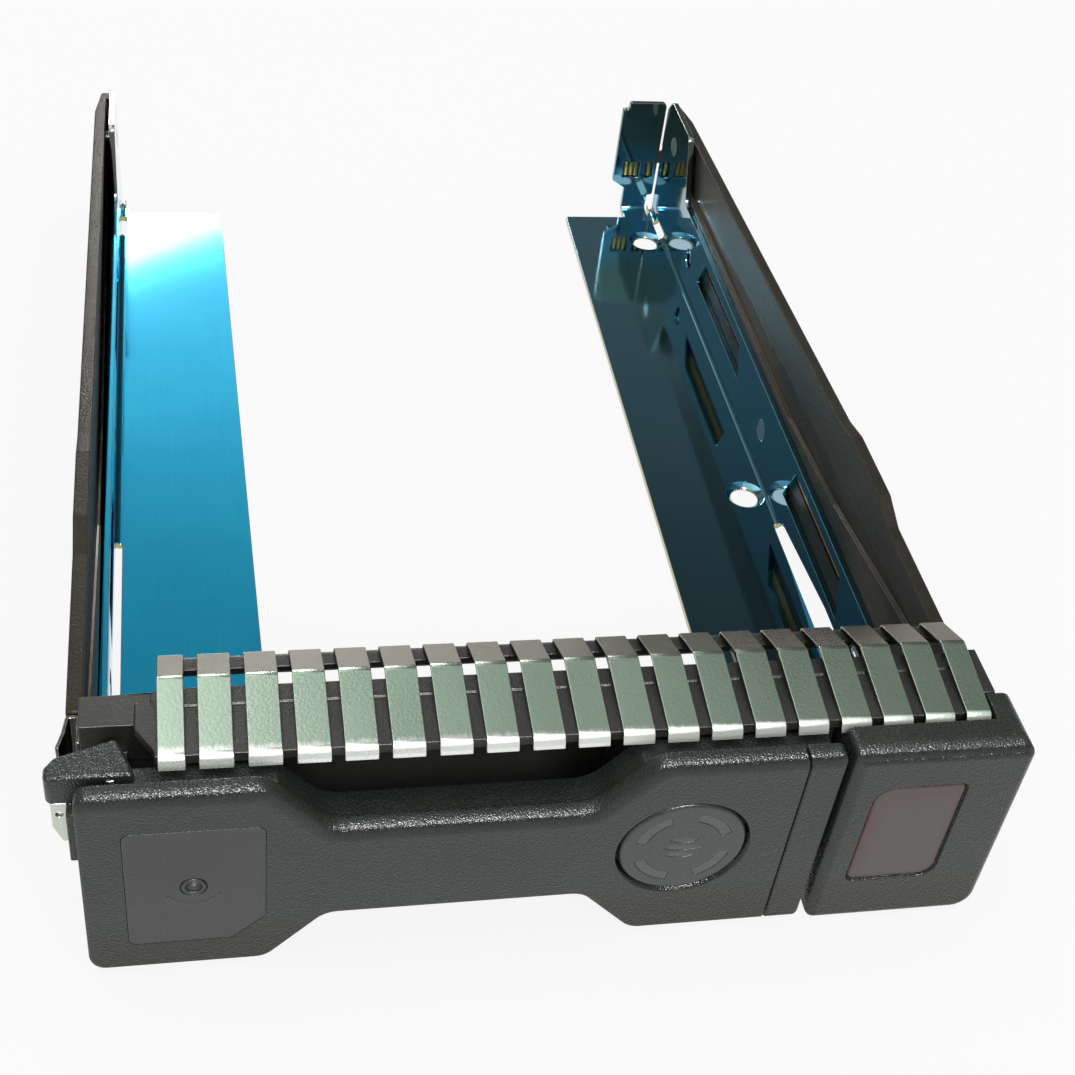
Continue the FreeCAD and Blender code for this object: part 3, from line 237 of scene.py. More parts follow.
def mixed(tree, factor, first, second):
    """Colour between two others, each a socket or red, green and blue."""
    made = node(tree, "Mix", {0: factor}, data_type="RGBA")
    for index, value in ((6, first), (7, second)):
        is_socket = isinstance(value, bpy.types.NodeSocket)
        feed(tree, made.inputs[index], value if is_socket else opaque(value))
    return made.outputs[2]


def spread(tree, value, low, high, to_low=0.0, to_high=1.0):
    """Value stretched from one range to another and held inside it. The low end may be the larger."""
    sizes = {"Value": value, "From Min": low, "From Max": high, "To Min": to_low, "To Max": to_high}
    return node(tree, "MapRange", sizes).outputs["Result"]


def sums(tree, operation, first, *rest):
    """Arithmetic on values, from the first to the last."""
    for value in rest:
        first = node(tree, "Math", {0: first, 1: value}, operation=operation).outputs[0]
    return first


def shades(colour, *factors):
    """A colour made darker or lighter by each factor."""
    return [[part * factor for part in colour] for factor in factors]


def scaled(tree, vector, factors):
    """Vector times three factors."""
    return node(tree, "VectorMath", {0: vector, 1: factors}, operation="MULTIPLY").outputs[0]


def product(tree, *values):
    """Product of several values."""
    return sums(tree, "MULTIPLY", *values)


def axes(tree, vector):
    """The X, Y and Z of a vector."""
    return node(tree, "SeparateXYZ", {0: vector}).outputs


def facing(tree):
    """The X, Y and Z of the way a face looks."""
    return axes(tree, node(tree, "NewGeometry").outputs["Normal"])


def blended(tree, main, fine):
    """Six tenths of one value and four tenths of a finer one."""
    return sums(tree, "ADD", product(tree, main, 0.6), product(tree, fine, 0.4))


def noise(tree, vector, scale, detail):
    """Noise value between 0 and 1."""
    return node(tree, "TexNoise", {"Vector": vector, "Scale": scale, "Detail": detail}).outputs["Fac"]


def new_group(name, inputs, outputs):
    """Empty node group with its named sockets."""
    tree = bpy.data.node_groups.new(name, "ShaderNodeTree")
    for label, kind, value in inputs:
        socket = tree.interface.new_socket(label, in_out="INPUT", socket_type="NodeSocket" + kind)
        if value is not None:
            socket.default_value = value
    for label, kind in outputs:
        tree.interface.new_socket(label, in_out="OUTPUT", socket_type="NodeSocket" + kind)
    return tree, tree.nodes.new("NodeGroupInput").outputs, tree.nodes.new("NodeGroupOutput").inputs


def moulded_grain():
    """Spark-eroded grain: cells and noise of one width give the height, slow noise the tone."""
    tree, given, out = new_group(
        "Moulded grain", (("Vector", "Vector", None), ("Cells", "Float", 2800.0)),
        (("Height", "Float"), ("Tone", "Float")),
    )
    cells = node(tree, "TexVoronoi", {"Vector": given["Vector"], "Scale": given["Cells"]},
                 feature="F1").outputs["Distance"]
    rough = noise(tree, given["Vector"], given["Cells"], 3.0)
    tree.links.new(sums(tree, "ADD", product(tree, cells, -0.8), rough), out["Height"])
    slow = noise(tree, given["Vector"], 70.0, 3.0)
    fine = spread(tree, rough, 0.3, 0.7)
    tree.links.new(blended(tree, slow, fine), out["Tone"])
    return tree


def rolled_lines():
    """Rolling marks: noise drawn out along the sheet, with fine pits over it."""
    tree, given, out = new_group(
        "Rolled lines",
        (("Vector", "Vector", None), ("Stretch", "Vector", (1.0, 0.06, 1.0)),
         ("Lines", "Float", 2500.0)),
        (("Height", "Float"), ("Tone", "Float")),
    )
    lines = noise(tree, scaled(tree, given["Vector"], given["Stretch"]), given["Lines"], 3.0)
    pits = noise(tree, given["Vector"], 3200.0, 2.0)
    both = blended(tree, lines, pits)
    tree.links.new(both, out["Height"])
    slow = noise(tree, given["Vector"], 45.0, 2.0)
    tree.links.new(blended(tree, slow, both), out["Tone"])
    return tree


def worn_edges():
    """Mask of corners: where the rounded normal leaves the true one, broken up by noise."""
    tree, given, out = new_group(
        "Worn edges",
        (("Vector", "Vector", None), ("Radius", "Float", 0.0004), ("Amount", "Float", 1.0)),
        (("Mask", "Float"),),
    )
    rounded = node(tree, "Bevel", {"Radius": given["Radius"]}, samples=4).outputs[0]
    true = node(tree, "NewGeometry").outputs["Normal"]
    level = node(tree, "VectorMath", {0: rounded, 1: true}, operation="DOT_PRODUCT").outputs["Value"]
    corner = spread(tree, level, 0.995, 0.86)
    patchy = spread(tree, noise(tree, given["Vector"], 900.0, 3.0), 0.35, 0.65, 0.35, 1.0)
    tree.links.new(product(tree, corner, patchy, given["Amount"]), out["Mask"])
    return tree


def settled_dust():
    """Mask of dust: on faces that look up, in slow patches with fine specks."""
    tree, given, out = new_group(
        "Settled dust", (("Vector", "Vector", None), ("Amount", "Float", 0.1)), (("Mask", "Float"),)
    )
    upward = spread(tree, facing(tree)["Z"], 0.3, 1.0)
    patches = spread(tree, noise(tree, given["Vector"], 120.0, 4.0), 0.4, 0.7)
    specks = spread(tree, noise(tree, given["Vector"], 2600.0, 1.0), 0.55, 0.75, 0.35, 1.0)
    tree.links.new(product(tree, upward, patches, specks, given["Amount"]), out["Mask"])
    return tree


GROUPS = {
    "Moulded grain": moulded_grain, "Rolled lines": rolled_lines,
    "Worn edges": worn_edges, "Settled dust": settled_dust,
}


def grouped(tree, name, **inputs):
    """Outputs of a shared node group placed in a material with its own values."""
    made = tree.nodes.new("ShaderNodeGroup")
    made.node_tree = bpy.data.node_groups.get(name) or GROUPS[name]()
    for key, value in inputs.items():
        feed(tree, made.inputs[key], value)
    return made.outputs


def blank(name):
    """New material with a Principled shader, and the piece's own coordinates."""
    made = bpy.data.materials.new(name + "_finish")
    made.use_nodes = True
    tree = made.node_tree
    tree.nodes.clear()
    out = node(tree, "OutputMaterial")
    shader = node(tree, "BsdfPrincipled")
    tree.links.new(shader.outputs[0], out.inputs["Surface"])
    return made, tree, shader, node(tree, "TexCoord").outputs["Object"]


def finish(tree, shader, colour, rough, height, depth, **others):
    """Feeds the shader its colour, roughness, bump and what else the finish has."""
    bump = node(tree, "Bump", {"Height": height, "Distance": depth}).outputs[0]
    inputs = {"Base Color": colour, "Roughness": rough, "Normal": bump, **others}
    for key, value in inputs.items():
        feed(tree, shader.inputs[key.replace("_", " ")], value)


def weathered(tree, here, colour, wear, pale, dust, dusty):
    """Colour with paler corners and settled dust, each by its amount."""
    corner = grouped(tree, "Worn edges", Vector=here, Radius=0.0005, Amount=wear)["Mask"]
    settled = grouped(tree, "Settled dust", Vector=here, Amount=dust)["Mask"]
    return mixed(tree, settled, mixed(tree, corner, colour, pale), dusty)


def moulded(name, base, cell, depth, rough, wear=0.4, dust=0.12, specular=0.5, low_tint=0.0, soft=0.0):
    """Moulded plastic: grained, a little paler at its corners, with some dust on top, and browner and darker
    towards the bottom by the low tint's amount. Its top falls away softly over the last soft metres to the
    front:
    the fall is the square of the way into that strip, so its slope grows evenly to 45 degrees."""
    made, tree, shader, here = blank(name)
    grain = grouped(tree, "Moulded grain", Vector=here, Cells=1.0 / cell)
    colour = mixed(tree, grain["Tone"], *shades(base, 0.55, 1.5))
    # Browner and darker towards the bottom.
    if low_tint:
        low = spread(tree, axes(tree, here)["Z"], LOW_TINT_TOP, 0.0, 0.0, low_tint)
        colour = mixed(tree, low, colour, settings("colours").low_tint)
    colour = weathered(tree, here, colour, wear, [c * 2.0 + 0.01 for c in base], dust, DUST)
    shine = spread(tree, grain["Height"], 0.0, 0.6, *rough)
    height = grain["Height"]
    if soft:
        way = spread(tree, axes(tree, here)["Y"], SOFT_END + soft, SOFT_END)
        fall = product(tree, way, way, soft * 0.5 / depth)
        height = sums(tree, "SUBTRACT", height, fall)
    finish(tree, shader, colour, shine, height, depth, Specular_IOR_Level=specular)
    return made


def guide_plastic():
    """Side guide plastic: polished low down and grained above, like the mould's two halves."""
    made, tree, shader, here = blank("guide_plastic")
    colours = settings("colours")
    grain = grouped(tree, "Moulded grain", Vector=here, Cells=2600.0)
    place = axes(tree, here)
    line = sums(tree, "ADD", place["Z"], product(tree, place["Y"], GUIDE_RISE))
    upper = spread(tree, line, *GUIDE_LINE)
    waves = noise(tree, scaled(tree, here, (1.0, 0.35, 1.0)), 160.0, 2.0)
    height = node(tree, "Mix", {0: upper, 2: product(tree, waves, 1.4), 3: grain["Height"]})
    colour = mixed(tree, grain["Tone"], *shades(colours.guide, 0.75, 1.3))
    # Painted reflection: warm streaks on the inner faces, below the grained part.
    patches = noise(tree, scaled(tree, here, (1.0, 0.22, 1.0)), 90.0, 2.0)
    painted_streaks = spread(tree, patches, 0.50, 0.72, 0.0, 0.5)
    inward = spread(tree, product(tree, facing(tree)["X"], place["X"]), *INWARD)
    painted_streaks = product(tree, painted_streaks, inward, sums(tree, "SUBTRACT", 1.0, upper))
    colour = mixed(tree, painted_streaks, colour, colours.guide_reflection)
    colour = weathered(tree, here, colour, 0.5, GUIDE_CORNER, 0.10, GUIDE_DUST)
    shine = node(tree, "Mix", {0: upper, 2: spread(tree, waves, 0.3, 0.7, 0.20, 0.32),
                               3: spread(tree, grain["Height"], 0.0, 0.6, 0.34, 0.5)})
    finish(tree, shader, colour, shine.outputs[0], height.outputs[0], 0.00004,
           Specular_IOR_Level=0.14, Specular_Tint=(1.0, 0.80, 0.62, 1.0))
    return made


def button_plastic():
    """Release button: greyish plum in the middle, darker red round its rim as a painted inner shadow, wider
    along the top and left.
    """
    made, tree, shader, here = blank("button_plastic")
    colours = settings("colours")
    grain = grouped(tree, "Moulded grain", Vector=here, Cells=3400.0)
    place = axes(tree, here)
    left, right = (spread(tree, place["X"], *ends) for ends in (BUTTON_LEFT, BUTTON_RIGHT))
    top, foot = (spread(tree, place["Z"], *ends) for ends in (BUTTON_TOP, BUTTON_FOOT))
    # Painted shade round the rim, wider along the top and left.
    rim = sums(tree, "MAXIMUM", left, right, top, foot)
    patchy = spread(tree, noise(tree, here, 260.0, 2.0), 0.3, 0.7, 0.55, 1.0)
    colour = mixed(tree, product(tree, rim, patchy), colours.button, colours.button_rim_shade)
    speckled = spread(tree, grain["Tone"], 0.2, 0.8, 0.0, 0.4)
    colour = mixed(tree, speckled, colour, *shades(colours.button, 1.5))
    shine = spread(tree, grain["Height"], 0.0, 0.6, 0.32, 0.48)
    finish(tree, shader, colour, shine, grain["Height"], 0.00003)
    return made


def sheet_steel(name, base, second, stretch, rough, cut=None, depth=0.00001, coat=0.0, patch=None,
                diffuse_lips=False):
    """Metal sheet: rolling marks in its tone, gloss and height, its own colour on cut edges, which on the
    rails is a painted highlight, and what the patch adds to its colour. With diffuse lips its front lips are
    only partly metal, so that the painted bend highlight there also shows as matt colour."""
    made, tree, shader, here = blank(name)
    rolled = grouped(tree, "Rolled lines", Vector=here, Stretch=stretch)
    corner = grouped(tree, "Worn edges", Vector=here, Radius=0.0003, Amount=0.9)["Mask"]
    colour = mixed(tree, spread(tree, rolled["Tone"], 0.3, 0.7), base, second)
    # Edge colour at the corners; on the rails it is a painted highlight.
    if cut:
        colour = mixed(tree, corner, colour, cut)
    if patch:
        colour = patch(tree, here, colour)
    shine = spread(tree, rolled["Tone"], 0.3, 0.7, *rough)
    # Partly metal lips let the painted bend highlight also show as matt white under the front softbox.
    metallic = spread(tree, axes(tree, here)["Y"], *FINGER_LIP, 1.0, 0.4) if diffuse_lips else 1.0
    finish(tree, shader, colour, shine, rolled["Height"], depth, Metallic=metallic,
           Coat_Weight=coat, Coat_Roughness=0.09)
    return made


def uneven_coat(tree, here, colour):
    """Blue coat of the rails: greyer on the right rail, nearly bare on the ears and the rear plate,
    and a yellowish painted highlight on the floor strips' cut faces."""
    colours = settings("colours")
    place = axes(tree, here)
    right = spread(tree, place["X"], *MIDDLE)
    colour = mixed(tree, right, colour, colours.rail_thin)
    bare = mixed(tree, right, colours.rail_pale, colours.rail_bare)
    rear = product(tree, spread(tree, place["Y"], *EAR_REAR), spread(tree, place["Z"], *EAR_FOOT))
    colour = mixed(tree, rear, colour, bare)
    # Painted highlight: the floor strips' cut faces get the yellowish edge colour.
    side = spread(tree, sums(tree, "ABSOLUTE", facing(tree)["Z"], 0.0), 0.8, 0.3)
    strip = product(tree, side, spread(tree, place["Z"], *FLOOR_TOP))
    return mixed(tree, strip, colour, colours.edge_highlight)


def painted_bend_highlight(tree, here, colour):
    """Fingers: a painted shade behind their crests, darker and warmer there, and a painted highlight at
    their front bends, with a ragged edge drawn out along the fingers. The painted highlight narrows and
    fades to the right."""
    ragged = noise(tree, scaled(tree, here, (1.0, 0.12, 0.12)), 2600.0, 2.0)
    place = axes(tree, here)
    line = sums(tree, "ADD", place["Y"], product(tree, ragged, 0.0012),
                product(tree, place["X"], 0.012))
    bright = settings("colours").bright
    rear_shade = [part * share for part, share in zip(bright, (0.35, 0.32, 0.29))]
    # Painted shade: behind their crests the fingers get a darker, warmer colour.
    colour = mixed(tree, spread(tree, place["Y"], *FINGER_CREST), colour, rear_shade)
    # Painted highlight: the front bends get the near-white bend colour, fading to the right.
    fading = spread(tree, place["X"], *FADING_BENDS, 1.0, 0.7)
    bend_highlight = product(tree, spread(tree, line, *FINGER_BEND), fading)
    return mixed(tree, bend_highlight, colour, bright)


def clear_plastic():
    """Clear moulded light guide."""
    made, tree, shader, here = blank("guide_clear")
    grain = grouped(tree, "Moulded grain", Vector=here, Cells=900.0)
    colour = mixed(tree, grain["Tone"], (0.86, 0.90, 0.88), (0.96, 0.98, 0.97))
    shine = spread(tree, grain["Height"], 0.0, 0.6, 0.04, 0.12)
    finish(tree, shader, colour, shine, grain["Height"], 0.00001, Transmission_Weight=1.0, IOR=1.49)
    return made


# Moulded finishes: the colour, the grain's width and depth as shares of the settings, how rough
# it is from the foot of the grain to its top, and what else differs.
FRONT = dict(wear=0.25, dust=0.06, specular=0.38, low_tint=1.0, soft=0.0030)
CLEAN = dict(wear=0.3, dust=0.05)
MOULDED = {
    "lever_plastic": ("front", 1.0, 1.0, (0.20, 0.40), FRONT),
    "bezel_plastic": ("front", 1.0, 1.0, (0.20, 0.40), FRONT),
    "housing_plastic": ("recess", 1.0, 0.3, (0.34, 0.46), dict(wear=0.5)),
    "catch_plastic": ("recess", 1.0, 0.3, (0.34, 0.46), dict(wear=0.5)),
    "connector_plastic": ("block", 1.0, 0.4, (0.3, 0.45), {}),
    "disc_lens": ("lens", 0.8, 0.25, (0.26, 0.36), CLEAN),
    "light_inlay": ("inlay", 0.8, 0.2, (0.24, 0.34), dict(wear=0.2, dust=0.0)),
    "field_plastic": ("field", 0.7, 0.5, (0.38, 0.5), CLEAN),
    "ring_plastic": ("field", 0.7, 0.5, (0.38, 0.5), CLEAN),
}
OWN_FINISH = {
    "guide_plastic": guide_plastic, "button_plastic": button_plastic, "guide_clear": clear_plastic,
}


def painted(kind):
    """The material of a slot's finish, made the first time it is asked for."""
    return bpy.data.materials.get(kind + "_finish") or paint(kind)


def paint(kind):
    """Material of each slot's finish."""
    colours, sizes = settings("colours"), settings("sizes")
    if kind in MOULDED:
        colour, cell, depth, rough, other = MOULDED[kind]
        cell, depth = sizes.grain * cell, sizes.grain_depth * depth
        return moulded(kind, getattr(colours, colour), cell, depth, rough, **other)
    if kind == "rail_steel":
        # On the rails the edge colour is a painted highlight.
        return sheet_steel(kind, colours.rail, colours.rail_deep, (1.0, 0.05, 1.0), (0.05, 0.08),
                           colours.edge_highlight, depth=0.000002, coat=0.28, patch=uneven_coat)
    if kind == "finger_steel":
        return sheet_steel(kind, colours.finger, *shades(colours.finger, 0.86), (1.0, 1.0, 1.0),
                           (0.24, 0.36), (0.88, 0.92, 0.88), depth=0.000025, patch=painted_bend_highlight,
                           diffuse_lips=True)
    if kind == "clip_steel":
        return sheet_steel(kind, CLIP_STEEL, CLIP_STEEL_PALE, (1.0, 1.0, 0.2), (0.22, 0.34),
                           (0.80, 0.80, 0.76))
    if kind == "tongue_steel":
        return sheet_steel(kind, colours.tongue, *shades(colours.tongue, 0.85), (1.0, 1.0, 0.2),
                           (0.3, 0.42), (0.85, 0.88, 0.84))
    if kind in ("fastener_steel", "rivet_steel", "spring_steel"):
        return sheet_steel(kind, colours.steel, *shades(colours.steel, 0.75), (1.0, 1.0, 1.0),
                           (0.22, 0.38), (0.75, 0.76, 0.74))
    if kind == "contact_gilt":
        return sheet_steel(kind, colours.gilt, *shades(colours.gilt, 0.85), (1.0, 1.0, 0.2),
                           (0.14, 0.24))
    if kind == "board_laminate":
        return moulded(kind, colours.board, 0.0006, 0.00001, (0.22, 0.34), dust=0.02)
    if kind == "flex_film":
        return moulded(kind, colours.film, 0.0009, 0.00001, (0.16, 0.28), dust=0.02)
    return OWN_FINISH[kind]()


def slot_of(name):
    """The record's material slot of a CAD node."""
    return {part["node"]: part["material_slot"] for part in frame["record"]["subparts"]}[name]


def stand_for(piece, name, *nodes):
    """Puts a finished piece in place of CAD nodes, on their body and with their finish."""
    bpy.context.scene.collection.objects.link(piece)
    piece.data.materials.append(painted(slot_of(name)))
    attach(piece, frame["nodes"][name]["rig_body"])
    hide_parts(name, *nodes)
    return piece


def softened(name, width, reach=0.0):
    """Rounded copy of a CAD node: its triangles are merged, level neighbours joined into one face,
    and its sharp edges bevelled. The reach spreads a front piece in its opening: each point moves
    that far from the middle in X and in Z."""
    work = bmesh.new()
    work.from_mesh(frame["nodes"][name].data)
    bmesh.ops.remove_doubles(work, verts=work.verts, dist=MERGED)
    bmesh.ops.dissolve_limit(work, angle_limit=LEVEL, verts=work.verts, edges=work.edges)
    mesh = bpy.data.meshes.new(name + "_rounded")
    work.to_mesh(mesh)
    work.free()
    if reach:
        places = np.empty(len(mesh.vertices) * 3, np.float32)
        mesh.vertices.foreach_get("co", places)
        places = places.reshape(-1, 3)
        middle = (places.max(0) + places.min(0)) / 2
        places += np.sign(places - middle) * (reach, 0.0, reach)
        mesh.vertices.foreach_set("co", places.ravel())
    mesh.shade_smooth()
    piece = bpy.data.objects.new(name + "_rounded", mesh)
    bevel = piece.modifiers.new("Rounded edges", "BEVEL")
    bevel.width = width
    bevel.segments = 2
    bevel.limit_method = "ANGLE"
    bevel.angle_limit = SHARP
    bevel.use_clamp_overlap = False
    piece.modifiers.new("Even faces", "WEIGHTED_NORMAL").weight = 80
    return stand_for(piece, name)


def dressed(name):
    """Gives a CAD node that stays its finish."""
    kept = frame["nodes"][name]
    kept.data.materials.clear()
    kept.data.materials.append(painted(slot_of(name)))


def skin(name, points, round_path, round_section):
    """Mesh over grids of points: copies, then steps along a path, then steps round a section.
    Neighbours are joined by quads, and an open path gets an end face on each end."""
    copies, along, around = points.shape[:3]
    i = np.arange(along if round_path else along - 1)[:, None]
    j = np.arange(around if round_section else around - 1)[None, :]
    after, beside = (i + 1) % along, (j + 1) % around
    quads = np.stack([i * around + j, i * around + beside, after * around + beside, after * around + j], -1)
    starts = np.arange(copies)[:, None, None] * along * around
    faces = (quads.reshape(1, -1, 4) + starts).reshape(-1, 4).tolist()
    if round_section and not round_path:
        ring = np.arange(around)
        caps = np.stack([ring[::-1], ring + (along - 1) * around])
        faces += (caps[None] + starts).reshape(-1, around).tolist()
    mesh = bpy.data.meshes.new(name)
    mesh.from_pydata(points.reshape(-1, 3), [], faces)
    mesh.validate()
    mesh.shade_smooth()
    return mesh


def bent_path(corners, radii, steps):
    """Path of straight runs with a tangent arc at each inner corner. An arc's centre lies on the
    corner's bisector, and its points turn evenly from one tangent point to the other."""
    corners, radii = np.asarray(corners, float), np.asarray(radii, float)[:, None]
    here = corners[1:-1]
    back, on = corners[:-2] - here, corners[2:] - here
    back /= np.linalg.norm(back, axis=1, keepdims=True)
    on /= np.linalg.norm(on, axis=1, keepdims=True)
    half = np.arccos(np.clip((back * on).sum(1, keepdims=True), -1, 1)) / 2
    reach = radii / np.tan(half)
    middle = back + on
    middle /= np.linalg.norm(middle, axis=1, keepdims=True)
    centre = here + middle * radii / np.sin(half)
    start, end = here + back * reach - centre, here + on * reach - centre
    turn = (np.pi - 2 * half)[:, None]
    t = np.linspace(0, 1, steps)[None, :, None]
    arcs = (np.sin((1 - t) * turn) * start[:, None] + np.sin(t * turn) * end[:, None]) / np.sin(turn)
    arcs = (arcs + centre[:, None]).reshape(-1, corners.shape[1])
    return np.concatenate([corners[:1], arcs, corners[-1:]])


def strip_section(width, gauge):
    """Section of a metal strip: a rectangle whose corners are quarter circles."""
    radius = gauge * 0.42
    angle = np.linspace(0, np.pi / 2, 4)
    quarter = np.stack([np.cos(angle), np.sin(angle)], 1) * radius
    across, through = width / 2 - radius, gauge / 2 - radius
    corners = [
        quarter * (sx, sz) + (sx * across, sz * through)
        for sx, sz in ((1, 1), (-1, 1), (-1, -1), (1, -1))
    ]
    return np.concatenate([corners[0], corners[1][::-1], corners[2], corners[3][::-1]])


def inward_of(side):
    """Unit vectors across a side view's path, towards the inner side of its bends."""
    ahead = np.gradient(side, axis=0)
    ahead /= np.linalg.norm(ahead, axis=1, keepdims=True)
    return np.stack([-ahead[:, 1], ahead[:, 0]], 1)


def finger_strip():
    """Grounding fingers and their band. Each finger is a strip section carried along one bent path
    in the side view, shifted to its place; small seeded changes set their crests and tips apart."""
    sizes = settings("sizes")
    count, gauge = sizes.finger_count, sizes.finger_gauge * MM
    centres = FIRST_FINGER_X + sizes.finger_pitch * MM * np.arange(count)
    widths = np.full(count, sizes.finger_width * MM)
    centres[0] += (widths[0] - FIRST_WIDTH) / 2
    centres[-1] -= (widths[-1] - LAST_WIDTH) / 2
    widths[0], widths[-1] = FIRST_WIDTH, LAST_WIDTH
    side = bent_path(FINGER_SIDE, FINGER_RADII, 10)
    runs = np.concatenate([[0], np.cumsum(np.linalg.norm(np.diff(side, axis=0), axis=1))])
    along = np.unique(np.concatenate([runs, np.linspace(0, runs[-1], 40)]))
    side = np.stack([np.interp(along, runs, side[:, k]) for k in (0, 1)], 1)
    inward = inward_of(side)
    chance = np.random.default_rng(7)
    drop = chance.uniform(0.0, CREST_DROP, count)
    lean = chance.uniform(-TIP_LEAN, TIP_LEAN, count)
    share = np.clip(along / along[-1], 0, 1)
    section = np.stack([strip_section(w, gauge) for w in widths])
    points = np.empty((count, len(along), section.shape[1], 3))
    middle = side + inward * gauge / 2
    points[..., 0] = centres[:, None, None] + section[:, None, :, 0]
    points[..., 0] += (lean[:, None] * share)[:, :, None]
    for k in (0, 1):
        points[..., k + 1] = middle[None, :, None, k] + inward[None, :, None, k] * section[:, None, :, 1]
    points[..., 2] -= (drop[:, None] * np.sin(share * np.pi))[:, :, None]
    low, high = centres[0] - widths[0] / 2, centres[-1] + widths[-1] / 2
    band_side = bent_path(BAND_SIDE, BAND_RADII, 8)
    inward = inward_of(band_side)
    section = strip_section(high - low, gauge)
    band = np.empty((1, len(band_side), len(section), 3))
    middle = band_side + inward * gauge / 2
    band[..., 0] = (low + high) / 2 + section[None, None, :, 0]
    band[..., 1:] = (middle[:, None] + inward[:, None] * section[None, :, 1:])[None]
    made = join_skins("grounding_fingers", [(points, False, True), (band, False, True)])
    piece = bpy.data.objects.new("grounding_fingers", made)
    piece.modifiers.new("Even faces", "WEIGHTED_NORMAL").weight = 90
    return piece


def join_skins(name, parts):
    """One mesh from several grids of points, with its normals turned outwards."""
    work = bmesh.new()
    for points, round_path, round_section in parts:
        mesh = skin(name, millimetres(points), round_path, round_section)
        work.from_mesh(mesh)
        bpy.data.meshes.remove(mesh)
    bmesh.ops.recalc_face_normals(work, faces=work.faces)
    mesh = bpy.data.meshes.new(name)
    work.to_mesh(mesh)
    work.free()
    mesh.shade_smooth()
    return mesh


def wire_skin(path, axis, thickness):
    """Round wire along a path: circles in the plane across the path's direction at each point."""
    path, axis = np.asarray(path, float), np.asarray(axis, float)
    ahead = np.gradient(path, axis=0)
    ahead /= np.linalg.norm(ahead, axis=1, keepdims=True)
    side = np.cross(ahead, axis)
    side /= np.linalg.norm(side, axis=1, keepdims=True)
    lift = np.cross(side, ahead)
    angle = np.linspace(0, 2 * np.pi, 8, endpoint=False)[None, :, None]
    circles = np.cos(angle) * side[:, None] + np.sin(angle) * lift[:, None]
    return (path[:, None] + thickness / 2 * circles)[None]


def helix(radius, rise, turns):
    """Spring line about +Z: the height rises with the angle, slowly in the two end turns."""
    t = np.linspace(0, 1, turns * 22 + 1)
    ends = 0.9 / turns
    rate = np.clip(np.minimum(t, 1 - t) / ends, 0.12, 1.0)
    height = np.concatenate([[0], np.cumsum((rate[1:] + rate[:-1]) / 2)])
    angle = 2 * np.pi * turns * t
    return np.stack([radius * np.cos(angle), radius * np.sin(angle), height / height[-1] * rise], 1)


def wire_spring(name, path, axis):
    """Spring made of round wire."""
    thickness = settings("sizes").wire * MM
    mesh = join_skins(name, [(wire_skin(path, axis, thickness), False, True)])
    return bpy.data.objects.new(name, mesh)


def pressed_spring(name, axis, order, radius, turns):
    """Compression spring along X (0) or Y (1), from one end of the CAD spring's box to the other. The
    order says which of the helix's own coordinates each axis takes."""
    sizes = settings("sizes")
    low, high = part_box(name)
    ends = ((low[axis] + sizes.wire / 2) * MM, (high[axis] - sizes.wire / 2) * MM)
    middle = [(a + b) * MM / 2 for a, b in zip(low, high)]
    middle[axis] = ends[0]
    line = helix(radius, ends[1] - ends[0], turns)[:, order] + middle + np.array([0.0, HALF * MM, 0.0])
    axle = np.eye(3)[axis]
    spring = stand_for(wire_spring(name + "_wire", line, axle), name)
    anchor = [(a + b) / 2 for a, b in zip(low, high)]
    anchor[axis] = high[axis]
    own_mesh(spring)


def hinge_spring():
    """Torsion spring round the hinge pin, with a front leg at its foot and a rear leg at its top."""
    radius, front_leg, rear_leg, gap = 1.85, 1.4, 5.5, 0.1
    low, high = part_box("lever_spring")
    pin_low, pin_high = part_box("lever_pin")
    wire = settings("sizes").wire * MM
    x, y = (pin_low.x + pin_high.x) * MM / 2, (pin_low.y + pin_high.y) * MM / 2 + HALF * MM
    rise = (high.z - low.z) * MM - wire
    coil = helix(radius, rise, 5) + (0.0, 0.0, low.z * MM + wire / 2)
    first = np.linspace((radius, -front_leg, coil[0, 2]), (radius, -gap, coil[0, 2]), 6)
    last = np.linspace((radius, gap, coil[-1, 2]), (radius, rear_leg, coil[-1, 2]), 8)
    line = np.concatenate([first, coil, last]) + (x, y, 0.0)
    stand_for(wire_spring("lever_spring_wire", line, (0, 0, 1)), "lever_spring")


def turned(profile, steps, first=0.0, last=2 * np.pi):
    """Profile of (radius, depth) turned about the Y axis, as a grid of points round the axis."""
    profile = np.asarray(profile, float)
    full = abs(last - first - 2 * np.pi) < 1e-6
    angle = np.linspace(first, last, steps, endpoint=not full)[:, None]
    x, z = profile[None, :, 0] * np.cos(angle), profile[None, :, 0] * np.sin(angle)
    return np.stack([x, np.broadcast_to(profile[None, :, 1], x.shape), z], -1)[None]


